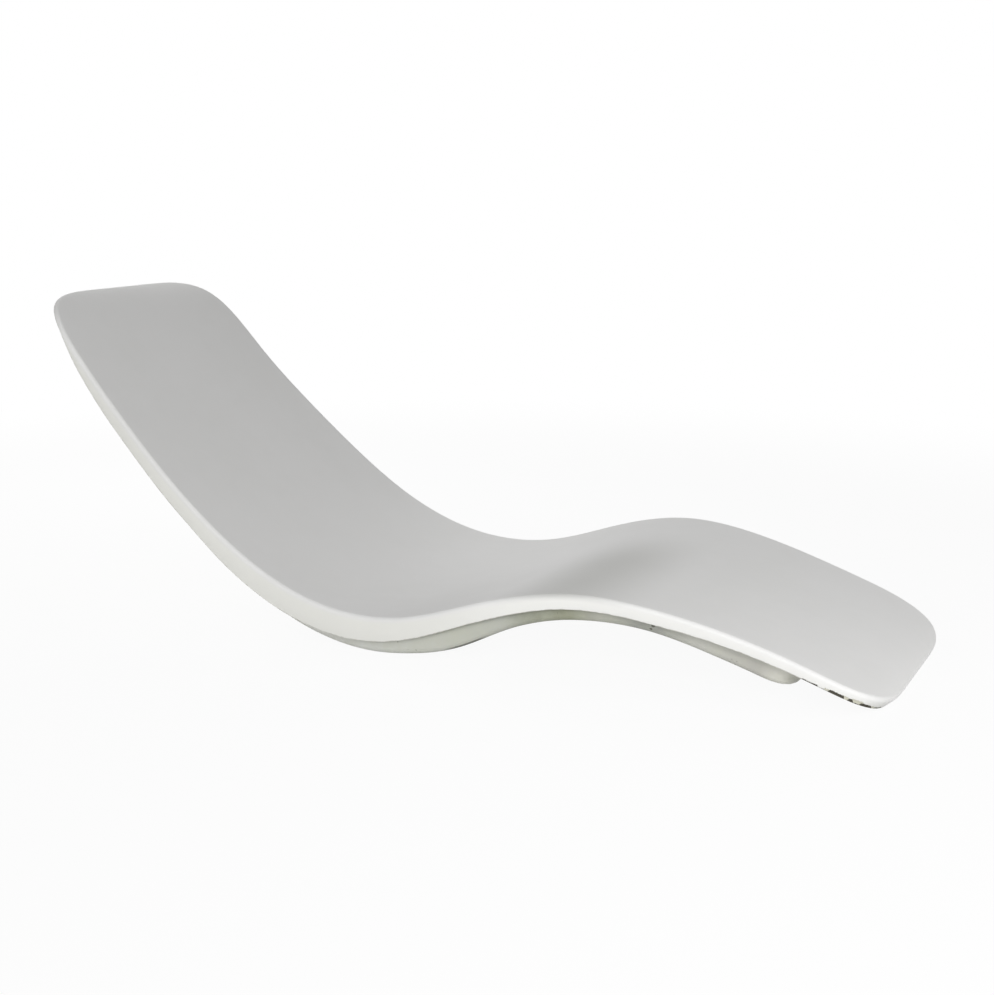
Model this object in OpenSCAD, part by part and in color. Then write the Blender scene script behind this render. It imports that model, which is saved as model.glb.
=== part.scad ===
// Relaxation lounger: a wave-shaped glass-fibre seat shell bonded to a shallow under-pan.
// The shell is described flat first, as a ribbon with a length and a width, and then laid along
// the seat line, which is the side profile. Distances along the ribbon start at the head edge.
// The frame: X runs from head to foot, -Y is the near side, Z is up from the floor. Millimetres.

/* [Seat line] */
// Length of the seat line from the head edge to the foot edge
seat_length = 2040; // [2020:10:2060]
// Slope of the seat line at even steps from head to foot, in degrees, downhill is negative
slopes = [-45, -48.5, -44, -40.5, -34, -20, 0, 18.5, 12.5, -6, -14.5, -19.5, -29]; // [-60:0.5:40]
// Angle by which the head edge rolls back from that slope
head_roll = 24; // [10:1:30]
// Length over which the head edge rolls back
head_roll_length = 100; // [60:10:140]
// Angle by which the foot edge rolls down
foot_roll = 23; // [10:1:30]
// Length over which the foot edge rolls down
foot_roll_length = 60; // [40:10:100]

/* [Outline] */
// Width of the seat at even steps from head to foot
widths = [586, 610, 650, 674, 700, 730, 666, 598, 576]; // [560:2:760]
// Length that the rounding of a head corner takes up
head_corner = 220; // [160:10:240]
// Squareness of a head corner, where 2 is a circle
head_squareness = 3.3; // [2:0.1:4]
// Length that the rounding of a foot corner takes up
foot_corner = 190; // [140:10:220]
// Squareness of a foot corner, where 2 is a circle
foot_squareness = 3.2; // [2:0.1:4]
// Hollow across the seat at the head, the middle and the foot
dish_depths = [1, 8, 0]; // [0:1:12]

/* [Seat shell] */
// Depth of the down-turned rim at even steps from head to foot
rim_depths = [
    9, 9, 22, 29, 31, 34, 37, 43.5, 48, 50.5, 49.5,
    42, 35.5, 32, 28.5, 27, 26, 23, 21, 20.5, 23.5
]; // [9:0.5:60]
// Radius of the rounded edge between the seat and the rim
edge_radius = 8; // [8:1:12]
// Thickness of the seat shell laminate
seat_thickness = 6; // [4:0.5:7]

/* [Under-pan] */
// Distance from the head edge to the head end of the pan
pan_start = 530; // [510:10:560]
// Distance from the head edge to the calf end of the pan
pan_end = 1878; // [1850:2:1880]
// Depth of the pan below the rim at even steps from its head end to its calf end
pan_drops = [-4.5, 5.5, 14.5, 22.5, 31, 41, 29, 27.5, 25, 36, 43.5]; // [-10:0.5:60]
// Distance from the rim's outer face to the top of the pan wall
pan_inset = 20; // [16:1:26]
// Distance that the wall leans in towards the bottom
pan_draft = 3; // [0:1:5]
// Radius along the bottom edge of the pan
pan_edge_radius = 12; // [8:1:14]
// Length that the rounding of a corner takes up at the head end
pan_head_corner = 160; // [100:10:200]
// Length that the rounding of a corner takes up at the calf end
pan_calf_corner = 65; // [50:5:100]
// Thickness of the pan laminate
pan_thickness = 5; // [3:0.5:6]

/* [Stiffening] */
// Thickness of the plywood ribs
rib_thickness = 12; // [9:1:15]
// Distances from the head edge to the cross ribs
rib_places = [590, 940, 1400, 1790]; // [580:10:1800]
// Distance from the head edge to the foam core and liner behind the back
back_start = 260; // [250:10:300]
// Depth of the back liner's outer face above the rim's lower edge
back_recess = 6; // [5:1:8]
// Depth of the foot liner's outer face above the rim's lower edge
foot_recess = 5; // [4:0.5:6]
// Thickness of the back and foot liners
liner_thickness = 3; // [2:0.5:4]

/* [Floor pads] */
// Thickness of a pad at its thinnest, under the lowest line of the pan
pad_thickness = 3; // [3:0.5:6]
// Width of a pad across the lounger
pad_width = 60; // [40:5:80]
// Distance from the centre line to the middle of a pad
pad_offset = 255; // [200:5:260]
// Length of a screw
screw_length = 16; // [14:1:18]
// Radius of a screw's shank
screw_radius = 2.5; // [2:0.5:3]

/* [Hidden] */

// Steps of the seat line, of a corner and of the long sides
line_steps = 204;
corner_steps = 9;
seat_side_steps = 50;
pan_side_steps = 36;
keel_steps = 60;
rib_steps = 16;
foam_steps = 8;
// Facets of a screw and its hole
round_steps = 48;
// Gap between pieces that lie face to face on curved surfaces, over a foam core and over a floor pad
glue_gap = 0.3;
core_gap = 0.8;
foot_core_gap = 2;
pad_gap = 0.1;
// Clearance in a halving joint and round a screw
joint_gap = 0.25;
// Clearance of the foam, and of a rib over the rounded floor of the pan
foam_gap = 1;
rib_gap = 2;
// How far a cut runs past what it cuts
cut_over = 1;
// Least depth of the rim's flat face, under the rounded edge
rim_least = 1;
// Insets of the loops that carry the seat's surface over its rolled ends
seat_loops = [90, 50, 28];
// The innermost loop of a surface: its share of the width, and how far it stays from the ends
centre_share = 0.5;
loop_reach = 200;
back_loop_reach = 100;
foot_loop_reach = 60;
// Squareness of the pan's corners
pan_head_squareness = 2.6;
pan_calf_squareness = 2.4;
// Gap over the pan wall and over the bonding bead, and the bead's width and depth
wall_gap = 2;
bead_gap = 1.5;
bead_width = 12;
bead_depth = 11;
// Inset of the foam cores inside the rim, and the shares of the width of a sheet's inner loops
core_inset = 14;
sheet_shares = [0.9, 0.75, 0.375];
// The sheets' gap to the pan, and the corners that they have at straight ends
sheet_to_pan = 12;
back_sheet_corner = 60;
foot_sheet_corner = 30;
sheet_squareness = 2.4;
// How far the keel stays from the ends of the pan
keel_head_gap = 25;
keel_calf_gap = 22;
// Countersunk head of a screw
head_radius = 5;
head_depth = 2.6;
head_recess = 0.8;
tip_length = 1.5;
hole_length = 21;
plate_thickness = 9;
plate_margin = 6;
// Stations of the pan's side that a pad and its plate span, and each screw's share of an end flat
pad_stations = 4;
screw_share = 0.8;

gelcoat_white = [0.93, 0.93, 0.92];
laminate_grey = [0.74, 0.75, 0.68];
laminate_amber = [0.72, 0.70, 0.58];
paste_grey = [0.60, 0.61, 0.58];
foam_yellow = [0.88, 0.80, 0.52];
plywood_tan = [0.76, 0.60, 0.40];
rubber_black = [0.10, 0.10, 0.10];
steel_grey = [0.72, 0.73, 0.75];

// Value at u, from 0 to 1, of a smooth curve through evenly spaced values
function smooth(values, u) =
    let (
        last = len(values) - 1,
        t = max(0, min(1, u)) * last,
        i = min(floor(t), last - 1),
        f = t - i,
        b = values[i],
        c = values[i + 1],
        a = i > 0 ? values[i - 1] : 2 * b - c,
        d = i + 2 > last ? 2 * c - b : values[i + 2]
    )
    b + f * (c - a) / 2 + f * f * (2 * a - 5 * b + 4 * c - d) / 2 + f * f * f * (3 * b - a - 3 * c + d) / 2;

function slope_at(s) =
    smooth(slopes, s / seat_length)
    + head_roll * pow(max(0, 1 - s / head_roll_length), 2)
    - foot_roll * pow(max(0, 1 - (seat_length - s) / foot_roll_length), 2);
function half_width(s) = smooth(widths, s / seat_length) / 2;
function rim_depth(s) = max(edge_radius + rim_least, smooth(rim_depths, s / seat_length));
function dish_at(s) = smooth(dish_depths, s / seat_length);
function pan_depth(s) = rim_depth(s) + smooth(pan_drops, (s - pan_start) / (pan_end - pan_start));

// The seat line, one point a step, found by walking down the slope
line_step = seat_length / line_steps;
seat_line = [
    for (
        i = 0, x = 0, z = 0;
        i <= line_steps;
        x = x + line_step * cos(slope_at((i + 0.5) * line_step)),
        z = z + line_step * sin(slope_at((i + 0.5) * line_step)),
        i = i + 1
    ) [x, z]
];
function on_line(s) =
    let (t = s / line_step, i = max(0, min(line_steps - 1, floor(t))), f = t - i)
    seat_line[i] * (1 - f) + seat_line[i + 1] * f;

// Places the ribbon's point (s, y) at a height h above the seat surface, before the move to the floor
function bent(s, y, h, dished) =
    let (
        p = on_line(s),
        a = slope_at(max(0, min(seat_length, s))),
        across = min(1, abs(y) / half_width(s)),
        rise = h - (dished ? dish_at(s) * (1 - across * across) : 0)
    )
    [p.x - sin(a) * rise, y, p.y + cos(a) * rise];

// Half of an outline on the ribbon, from its head end along the near side to its foot end
function corner_in(k, size, squareness) = size * (1 - pow(cos(k), 2 / squareness));
function corner_out(k, size, squareness) = size * (1 - pow(sin(k), 2 / squareness));
function half_outline(from, to, side, corner_a, square_a, corner_b, square_b, side_steps) =
    let (
        turn = 90 / corner_steps,
        side_step = (to - from - corner_a - corner_b) / side_steps
    )
    concat(
        [
            for (i = [0:corner_steps])
            let (s = from + corner_in(i * turn, corner_a, square_a))
            [s, corner_out(i * turn, corner_a, square_a) + side - half_width(s)]
        ],
        [
            for (i = [1:side_steps - 1])
            let (s = from + corner_a + i * side_step)
            [s, side - half_width(s)]
        ],
        [
            for (i = [corner_steps:-1:0])
            let (s = to - corner_in(i * turn, corner_b, square_b))
            [s, corner_out(i * turn, corner_b, square_b) + side - half_width(s)]
        ]
    );
function mirrored_loop(half) =
    concat(half, [for (i = [len(half) - 1:-1:0]) [half[i].x, -half[i].y]]);

// Moves a loop inwards by a distance, square to itself
function inset(loop, distance) =
    let (count = len(loop))
    [
        for (i = [0:count - 1])
        let (
            along = loop[(i + 1) % count] - loop[(i + count - 1) % count],
            inward = [-along.y, along.x] / norm(along)
        )
        loop[i] + distance * inward
    ];
// Shrinks a loop towards its own centre line
function shrunk(loop, share, reach) =
    let (
        low = min([for (p = loop) p.x]) + reach,
        high = max([for (p = loop) p.x]) - reach
    )
    [
        for (p = loop)
        let (centre = [max(low, min(high, p.x)), 0])
        centre + share * (p - centre)
    ];
function bent_ring(loop, height, dished) = [for (p = loop) bent(p.x, p.y, height(p.x), dished)];

seat_loop = mirrored_loop(half_outline(
    0, seat_length, 0, head_corner, head_squareness, foot_corner, foot_squareness, seat_side_steps
));
pan_half = half_outline(
    pan_start, pan_end, pan_inset, pan_head_corner, pan_head_squareness, pan_calf_corner,
    pan_calf_squareness, pan_side_steps
);
pan_loop = mirrored_loop(pan_half);

// Where the floor is, below the pan's lowest line by a pad, and where the middle of the length is
pan_side = [for (i = [corner_steps:corner_steps + pan_side_steps]) pan_half[i].x];
pan_line = [for (s = pan_side) bent(s, 0, -pan_depth(s), false)];
pan_low = min([for (p = pan_line) p.z]);
low_station = [for (i = [0:pan_side_steps]) if (pan_line[i].z == pan_low) i][0];
floor_height = pan_low - pad_thickness;
rim_height = function(s) -rim_depth(s);
outer_points = concat(
    bent_ring(seat_loop, rim_height, true),
    [
        for (turn = [0:15:90])
        let (loop = inset(seat_loop, edge_radius * (1 - sin(turn))))
        each bent_ring(loop, level(edge_radius * (1 - cos(turn))), true)
    ]
);
middle = (min([for (p = outer_points) p.x]) + max([for (p = outer_points) p.x])) / 2;

// Height functions for a ring that runs level at a depth below the seat surface
function level(depth) = function(s) -depth;
// Places a ribbon point in the finished frame, never below the floor, where the rim is worn flat
function placed(s, y, h, dished = true) =
    let (p = bent(s, y, h, dished))
    [p.x - middle, p.y, max(0, p.z - floor_height)];
function ring(loop, height, dished = true) = [for (p = loop) placed(p.x, p.y, height(p.x), dished)];
// The ring on the rounded edge of a shell at a turn from 0 at the top to 90 at the rim
function edge_ring(loop, outer, radius, turn) =
    ring(inset(loop, outer - radius * sin(turn)), level(outer - radius * cos(turn)));

// Triangles of the band between ring a and ring b, mirrored about the centre line
function band(a, b, count) = [
    for (i = [0:count - 1])
    let (
        next = (i + 1) % count,
        p = a * count + i,
        q = a * count + next,
        r = b * count + next,
        t = b * count + i
    )
    each i < count / 2 ? [[p, q, r], [p, r, t]] : [[p, q, t], [q, r, t]]
];
// Triangles that close a ring by joining its near side to its far side
function bridge(at, count, upward) = [
    for (i = [0:count / 2 - 2])
    let (
        near = at * count + i,
        near_next = near + 1,
        far = at * count + count - 1 - i,
        far_next = far - 1
    )
    each upward
        ? [[far, far_next, near_next], [far, near_next, near]]
        : [[near, near_next, far_next], [near, far_next, far]]
];

// A closed solid whose skin runs through rings, from the top centre out and back underneath
module shell_through(rings) {
    count = len(rings[0]);
    polyhedron(
        points = [for (r = rings) each r],
        faces = concat(
            bridge(0, count, true),
            [for (i = [0:len(rings) - 2]) each band(i, i + 1, count)],
            bridge(len(rings) - 1, count, false)
        )
    );
}

// A closed ring-shaped solid whose skin runs through rings and back to the first
module tube_through(rings) {
    count = len(rings[0]);
    polyhedron(
        points = [for (r = rings) each r],
        faces = [for (i = [0:len(rings) - 1]) each band(i, (i + 1) % len(rings), count)]
    );
}

// A closed solid through cross-sections of equal point counts, with flat ends
module loft(sections) {
    count = len(sections[0]);
    last = len(sections) - 1;
    polyhedron(
        points = [for (r = sections) each r],
        faces = concat(
            [for (i = [1:count - 2]) [0, i, i + 1]],
            [
                for (k = [0:last - 1])
                for (i = [0:count - 1])
                let (next = (i + 1) % count, a = k * count, b = a + count)
                each [[a + i, b + i, b + next], [a + i, b + next, a + next]]
            ],
            [for (i = [1:count - 2]) [last * count, last * count + i + 1, last * count + i]]
        )
    );
}

// A sheet that lies under the seat between two heights, straight across, and fills an outline
module sheet(loop, top, bottom, reach) {
    loops = concat([loop], [for (share = sheet_shares) shrunk(loop, share, reach)]);
    last = len(loops) - 1;
    shell_through(concat(
        [for (i = [last:-1:0]) ring(loops[i], top, false)],
        [for (i = [0:last]) ring(loops[i], bottom, false)]
    ));
}

module seat_shell() {
    inner_radius = edge_radius - seat_thickness;
    widest = inset(seat_loop, seat_loops[0]);
    color(gelcoat_white)
    shell_through(concat(
        [ring(shrunk(widest, centre_share, loop_reach), level(0))],
        [for (d = seat_loops) ring(inset(seat_loop, d), level(0))],
        [for (turn = [0:30:90]) edge_ring(seat_loop, edge_radius, edge_radius, turn)],
        [ring(seat_loop, rim_height)],
        [ring(inset(seat_loop, seat_thickness), rim_height)],
        [for (turn = [90:-45:0]) edge_ring(seat_loop, edge_radius, inner_radius, turn)],
        [ring(inset(seat_loop, seat_loops[2]), level(seat_thickness))],
        [ring(inset(seat_loop, seat_loops[1]), level(seat_thickness))],
        [ring(widest, level(seat_thickness))],
        [ring(shrunk(widest, centre_share, loop_reach), level(seat_thickness))]
    ));
}

// Ring of the pan's skin: turn 90 is at the wall and turn 0 at the bottom
function pan_ring(radius, turn) =
    ring(
        inset(pan_loop, pan_draft + pan_edge_radius - radius * sin(turn)),
        function(s) pan_edge_radius - radius * cos(turn) - pan_depth(s),
        false
    );

module under_pan() {
    inner_radius = pan_edge_radius - pan_thickness;
    top = level(seat_thickness + wall_gap);
    floor_loop = shrunk(inset(pan_loop, pan_draft + pan_edge_radius), centre_share, loop_reach);
    color(laminate_grey)
    difference() {
        shell_through(concat(
            [ring(floor_loop, function(s) pan_thickness - pan_depth(s), false)],
            [for (turn = [0:45:90]) pan_ring(inner_radius, turn)],
            [ring(inset(pan_loop, pan_thickness), top)],
            [ring(pan_loop, top)],
            [for (turn = [90:-30:0]) pan_ring(pan_edge_radius, turn)],
            [ring(floor_loop, function(s) -pan_depth(s), false)]
        ));
        screw_holes(screw_radius + joint_gap);
    }
}

// Bead of paste in the corner between the seat shell and the pan wall
module pan_bond() {
    top = level(seat_thickness + bead_gap);
    low = level(seat_thickness + bead_depth);
    inner = inset(pan_loop, -glue_gap);
    color(paste_grey)
    tube_through([
        ring(inner, top),
        ring(inner, low),
        ring(inset(pan_loop, -bead_width / 2), level(seat_thickness + bead_depth / 2)),
        ring(inset(pan_loop, -bead_width), top)
    ]);
}

// Near side of the seat's outline, moved inwards
function seat_side(distance) =
    let (loop = inset(seat_loop, distance))
    [for (i = [0:len(loop) / 2 - 1]) loop[i]];
// Rounded corner at an end of a sheet: way is 1 if the sheet starts there and -1 if it ends
function sheet_corner(side, at, way, size) = [
    for (i = [0:corner_steps])
    let (
        turn = (way > 0 ? i : corner_steps - i) * 90 / corner_steps,
        s = at + way * corner_in(turn, size, sheet_squareness)
    )
    [s, lookup(s, side) + corner_out(turn, size, sheet_squareness)]
];
// Outlines of the sheets behind the back and under the foot end, at a distance inside the seat's outline
function back_sheet(distance) =
    let (
        side = seat_side(distance),
        start = back_start + distance,
        end = pan_start - sheet_to_pan - distance,
        room = back_sheet_corner + cut_over
    )
    mirrored_loop(concat(
        sheet_corner(side, start, 1, back_sheet_corner),
        [for (p = side) if (p.x > start + room && p.x < end - room) p],
        sheet_corner(side, end, -1, back_sheet_corner)
    ));
function foot_sheet(distance) =
    let (side = seat_side(distance), start = pan_end + sheet_to_pan + distance)
    mirrored_loop(concat(
        sheet_corner(side, start, 1, foot_sheet_corner),
        [for (p = side) if (p.x > start + foot_sheet_corner + cut_over) p]
    ));

// Top of a foam core at a gap below the seat's laminate, and below the hollow across the seat
function core_top(gap) = function(s) -seat_thickness - gap - dish_at(s);

module back_core() {
    color(foam_yellow)
    sheet(
        back_sheet(core_inset),
        core_top(core_gap),
        function(s) back_recess + liner_thickness + core_gap - rim_depth(s),
        back_loop_reach
    );
}

module back_liner() {
    color(laminate_amber)
    sheet(
        back_sheet(seat_thickness + glue_gap),
        function(s) back_recess + liner_thickness - rim_depth(s),
        function(s) back_recess - rim_depth(s),
        back_loop_reach
    );
}

module foot_core() {
    color(foam_yellow)
    sheet(
        foot_sheet(core_inset),
        core_top(foot_core_gap),
        function(s) foot_recess + liner_thickness + core_gap - rim_depth(s),
        foot_loop_reach
    );
}

module foot_liner() {
    color(laminate_amber)
    sheet(
        foot_sheet(seat_thickness + glue_gap),
        function(s) foot_recess + liner_thickness - rim_depth(s),
        function(s) foot_recess - rim_depth(s),
        foot_loop_reach
    );
}

// Room inside the pan: the height of its ceiling and of its floor at a place on the ribbon
function ceiling(s) = -seat_thickness - 2 * glue_gap;
function inside_floor(s) = pan_thickness + 2 * glue_gap - pan_depth(s);
inner_wall = pan_thickness + pan_draft + 2 * glue_gap;
// How much a pan corner takes off the half width, at a distance from the pan's end
function corner_loss(distance, size, squareness) =
    let (share = max(0, min(1, 1 - distance / size)))
    size * (1 - pow(1 - pow(share, squareness), 1 / squareness));
function inner_room(s) =
    half_width(s) - pan_inset - inner_wall
    - corner_loss(s - pan_start - inner_wall, pan_head_corner, pan_head_squareness)
    - corner_loss(pan_end - inner_wall - s, pan_calf_corner, pan_calf_squareness);
// Height of the halving joint between the keel and a cross rib
function half_lap(s) = (ceiling(s) - dish_at(s) + inside_floor(s)) / 2;

// A slot square to the seat line at s, open upwards or downwards from the halving joint
module lap_slot(s, length, width, opens_up) {
    translate(placed(s, 0, half_lap(s), false))
    rotate([0, -slope_at(s), 0])
    translate([-length / 2, -width / 2, opens_up ? 0 : -loop_reach])
    cube([length, width, loop_reach]);
}

// The centre rib, cut from the top where the cross ribs lap over it
module keel() {
    from = pan_start + keel_head_gap;
    to = pan_end - keel_calf_gap;
    stations = [for (i = [0:keel_steps]) from + i * (to - from) / keel_steps];
    top = [for (s = stations) placed(s, 0, ceiling(s))];
    bottom = [for (i = [keel_steps:-1:0]) placed(stations[i], 0, inside_floor(stations[i]), false)];
    color(plywood_tan)
    difference() {
        translate([0, rib_thickness / 2, 0])
        rotate([90, 0, 0])
        linear_extrude(rib_thickness)
        polygon([for (p = concat(top, bottom)) [p.x, p.z]]);
        for (s = rib_places) {
            lap_slot(s, rib_thickness + 2 * joint_gap, rib_thickness + 2 * cut_over, true);
        }
    }
}

// A cross rib that fills the pan's section at s, cut from below where it laps over the keel
module cross_rib(s) {
    room = min(inner_room(s - rib_thickness / 2), inner_room(s + rib_thickness / 2));
    high = ceiling(s);
    low = min(inside_floor(s - rib_thickness / 2), inside_floor(s + rib_thickness / 2)) + rib_gap;
    bevel = pan_edge_radius;
    edge = [
        for (i = [0:rib_steps])
        let (y = (2 * i / rib_steps - 1) * room)
        [y, high - dish_at(s) * (1 - pow(y / half_width(s), 2))]
    ];
    color(plywood_tan)
    difference() {
        translate(placed(s, 0, 0, false))
        rotate([0, -slope_at(s), 0])
        translate([-rib_thickness / 2, 0, 0])
        rotate([90, 0, 90])
        linear_extrude(rib_thickness)
        polygon(concat(
            edge,
            [[room, low + bevel], [room - bevel, low], [bevel - room, low], [-room, low + bevel]]
        ));
        lap_slot(s, rib_thickness + 2 * cut_over, rib_thickness + 2 * joint_gap, false);
    }
}

module lumbar_rib() { cross_rib(rib_places[0]); }
module seat_rib() { cross_rib(rib_places[1]); }
module knee_rib() { cross_rib(rib_places[2]); }
module calf_rib() { cross_rib(rib_places[3]); }

// A foam block between two cross ribs, on the near side (-1) of the keel or mirrored to the far side (1)
module foam_block(bay, side) {
    inner = rib_thickness / 2 + foam_gap;
    from = rib_places[bay] + inner;
    to = rib_places[bay + 1] - inner;
    sections = [
        for (i = [0:foam_steps])
        let (
            s = from + i * (to - from) / foam_steps,
            outer = inner_room(s) - foam_gap,
            middle_y = (inner + outer) / 2,
            low = inside_floor(s) + foam_gap,
            high = ceiling(s) - foam_gap
        )
        [
            placed(s, -inner, high),
            placed(s, -middle_y, high),
            placed(s, -outer, high),
            placed(s, -outer, low + pan_edge_radius, false),
            placed(s, pan_edge_radius - outer, low, false),
            placed(s, -inner, low, false)
        ]
    ];
    color(foam_yellow)
    mirror([0, max(0, side), 0])
    difference() {
        loft(sections);
        pad_block_space();
    }
}

module seat_foam_left() { foam_block(0, 1); }
module seat_foam_right() { foam_block(0, -1); }
module thigh_foam_left() { foam_block(1, 1); }
module thigh_foam_right() { foam_block(1, -1); }
module calf_foam_left() { foam_block(2, 1); }
module calf_foam_right() { foam_block(2, -1); }

// Stations of the pan's side that carry a pad, and the pan's outer and inner faces there
pad_line = [
    for (i = [low_station - pad_stations / 2:low_station + pad_stations / 2])
    placed(pan_side[i], 0, -pan_depth(pan_side[i]), false)
];
plate_line = [
    for (i = [low_station - pad_stations / 2:low_station + pad_stations / 2])
    placed(pan_side[i], 0, inside_floor(pan_side[i]) - glue_gap, false)
];
plate_top = max([for (p = plate_line) p.z]) + plate_thickness;
// The screws stand in the pad's first and last flat
function part_way(from, to) = from + screw_share * (to - from);
screw_xs = [
    part_way(pad_line[0].x, pad_line[1].x),
    part_way(pad_line[pad_stations].x, pad_line[pad_stations - 1].x)
];

// A bar across the pad, extruded from a side profile
module pad_bar(profile, side, width) {
    translate([0, side * pad_offset + width / 2, 0])
    rotate([90, 0, 0])
    linear_extrude(width)
    polygon(profile);
}

// Rubber pad: flat below, and shaped to the pan above
module floor_pad(side) {
    color(rubber_black)
    difference() {
        pad_bar(
            concat(
                [for (p = pad_line) [p.x, p.z - pad_gap]],
                [[pad_line[pad_stations].x, 0], [pad_line[0].x, 0]]
            ),
            side,
            pad_width
        );
        screw_holes(screw_radius + joint_gap);
        for (x = screw_xs) {
            translate([x, side * pad_offset, -cut_over])
            cylinder(h = head_recess + cut_over, r = head_radius + joint_gap, $fn = round_steps);
            translate([x, side * pad_offset, head_recess])
            cylinder(
                h = head_depth, r1 = head_radius + joint_gap, r2 = screw_radius + joint_gap,
                $fn = round_steps
            );
        }
    }
}

// Plywood backing plate: shaped to the pan below, and flat above
module pad_plate(side) {
    color(plywood_tan)
    difference() {
        pad_bar(
            concat(
                [for (p = plate_line) [p.x, p.z]],
                [[plate_line[pad_stations].x, plate_top], [plate_line[0].x, plate_top]]
            ),
            side,
            pad_width + 2 * plate_margin
        );
        screw_holes(screw_radius + joint_gap);
    }
}

// The pocket that the near backing plate needs in the foam
module pad_block_space() {
    room = 2 * foam_gap;
    from = plate_line[0].x - room;
    length = plate_line[pad_stations].x + room - from;
    width = pad_width + 2 * plate_margin + 2 * room;
    translate([from, -pad_offset - width / 2, 0])
    cube([length, width, plate_top + room]);
}

module screw_places() {
    for (side = [-1, 1]) {
        for (x = screw_xs) {
            translate([x, side * pad_offset, 0])
            children();
        }
    }
}

module screw_holes(radius) {
    screw_places()
    translate([0, 0, -cut_over])
    cylinder(h = hole_length + cut_over, r = radius, $fn = round_steps);
}

// Countersunk screw with its head recessed in the pad
module pad_screws() {
    color(steel_grey)
    screw_places()
    rotate_extrude($fn = round_steps)
    polygon([
        [0, head_recess],
        [head_radius, head_recess],
        [screw_radius, head_recess + head_depth],
        [screw_radius, head_recess + screw_length - tip_length],
        [0, head_recess + screw_length]
    ]);
}

module pad_plate_left() { pad_plate(1); }
module pad_plate_right() { pad_plate(-1); }
module floor_pad_left() { floor_pad(1); }
module floor_pad_right() { floor_pad(-1); }

seat_shell();
under_pan();
pan_bond();
back_core();
back_liner();
foot_core();
foot_liner();
keel();
lumbar_rib();
seat_rib();
knee_rib();
calf_rib();
seat_foam_left();
seat_foam_right();
thigh_foam_left();
thigh_foam_right();
calf_foam_left();
calf_foam_right();
pad_plate_left();
pad_plate_right();
floor_pad_left();
floor_pad_right();
pad_screws();
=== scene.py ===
"""Finished look of a spa relaxation lounger in glass-fibre laminate.

Every shell is modelled flat first, as a blank whose vertices hold a place along the seat line, a place
across it and a height over it, and is then formed along the seat line, which is the lounger's side
profile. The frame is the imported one: X from head to foot, -Y the near side, Z up, in metres.
"""

from __future__ import annotations

import logging
import math
from bisect import bisect_right
from dataclasses import dataclass
from enum import Enum
from functools import cached_property
from typing import Callable, Iterable, NamedTuple, Sequence

import bmesh
import bpy
from mathutils import Matrix, Vector

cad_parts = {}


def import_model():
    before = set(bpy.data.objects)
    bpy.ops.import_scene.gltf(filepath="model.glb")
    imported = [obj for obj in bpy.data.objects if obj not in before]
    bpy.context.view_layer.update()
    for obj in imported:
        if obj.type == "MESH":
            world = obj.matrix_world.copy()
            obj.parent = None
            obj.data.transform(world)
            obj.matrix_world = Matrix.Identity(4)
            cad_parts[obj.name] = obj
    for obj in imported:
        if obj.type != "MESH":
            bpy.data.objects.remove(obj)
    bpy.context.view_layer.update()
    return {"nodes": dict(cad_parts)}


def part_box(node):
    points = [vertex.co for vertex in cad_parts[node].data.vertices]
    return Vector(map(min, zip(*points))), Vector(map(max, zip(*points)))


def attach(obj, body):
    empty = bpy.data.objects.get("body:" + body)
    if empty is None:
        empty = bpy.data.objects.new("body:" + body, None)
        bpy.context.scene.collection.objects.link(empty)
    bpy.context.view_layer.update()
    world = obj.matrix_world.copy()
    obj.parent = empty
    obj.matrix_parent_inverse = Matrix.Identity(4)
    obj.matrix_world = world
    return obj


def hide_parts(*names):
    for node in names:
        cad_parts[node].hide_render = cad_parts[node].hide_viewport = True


LOG = logging.getLogger("lounger")
ROOT_BODY = "root"
GLUE_GAP = 0.0003
SEAT_WALL = 0.006
RIGHT_ANGLE = 90

# Differences too small to count: in steps of a curve, in metres, and between heights in metres.
TINY = 1e-9
SLIVER = 1e-6
TOUCHING = 1e-5

Triple = tuple[float, float, float]
Colour = tuple[float, float, float, float]
Socket = bpy.types.NodeSocket
Edges = list[bmesh.types.BMEdge]
Mover = Callable[[float, float, Vector], Vector]


def colour(red: float, green: float, blue: float) -> Colour:
    """A linear colour."""
    return (red, green, blue, 1.0)


def added(name: str, data: bpy.types.ID) -> bpy.types.Object:
    """Adds an object to the scene."""
    made = bpy.data.objects.new(name, data)
    bpy.context.scene.collection.objects.link(made)
    return made


def emptied(owner: bpy.types.ID) -> bpy.types.NodeTree:
    """The node tree of a material or a world, with no nodes left in it."""
    owner.use_nodes = True
    owner.node_tree.nodes.clear()
    return owner.node_tree


def extruded(mesh: bmesh.types.BMesh, edges: Edges) -> tuple[list[bmesh.types.BMVert], Edges]:
    """Extrudes edges once, and finds the new vertices and the new edges between them."""
    grown = bmesh.ops.extrude_edge_only(mesh, edges=edges)["geom"]
    verts = [item for item in grown if isinstance(item, bmesh.types.BMVert)]
    fresh = set(verts)
    joined = [item for item in grown if isinstance(item, bmesh.types.BMEdge)]
    return verts, [edge for edge in joined if all(vert in fresh for vert in edge.verts)]


@dataclass(frozen=True)
class Curve:
    """A smooth curve through evenly spaced values."""

    values: tuple[float, ...]

    def at(self, share: float) -> float:
        """The curve's value at a share of its length, from 0 to 1."""
        last = len(self.values) - 1
        reach = min(max(share, 0.0), 1.0) * last
        step = min(int(reach), last - 1)
        part = reach - step
        here = self.values[step]
        after = self.values[step + 1]
        before = self.values[step - 1] if step > 0 else 2 * here - after
        later = self.values[step + 2] if step + 2 <= last else 2 * after - here
        slope = (after - before) / 2
        bend = (2 * before - 5 * here + 4 * after - later) / 2
        twist = (3 * here - before - 3 * after + later) / 2
        return here + part * slope + part**2 * bend + part**3 * twist


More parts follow.
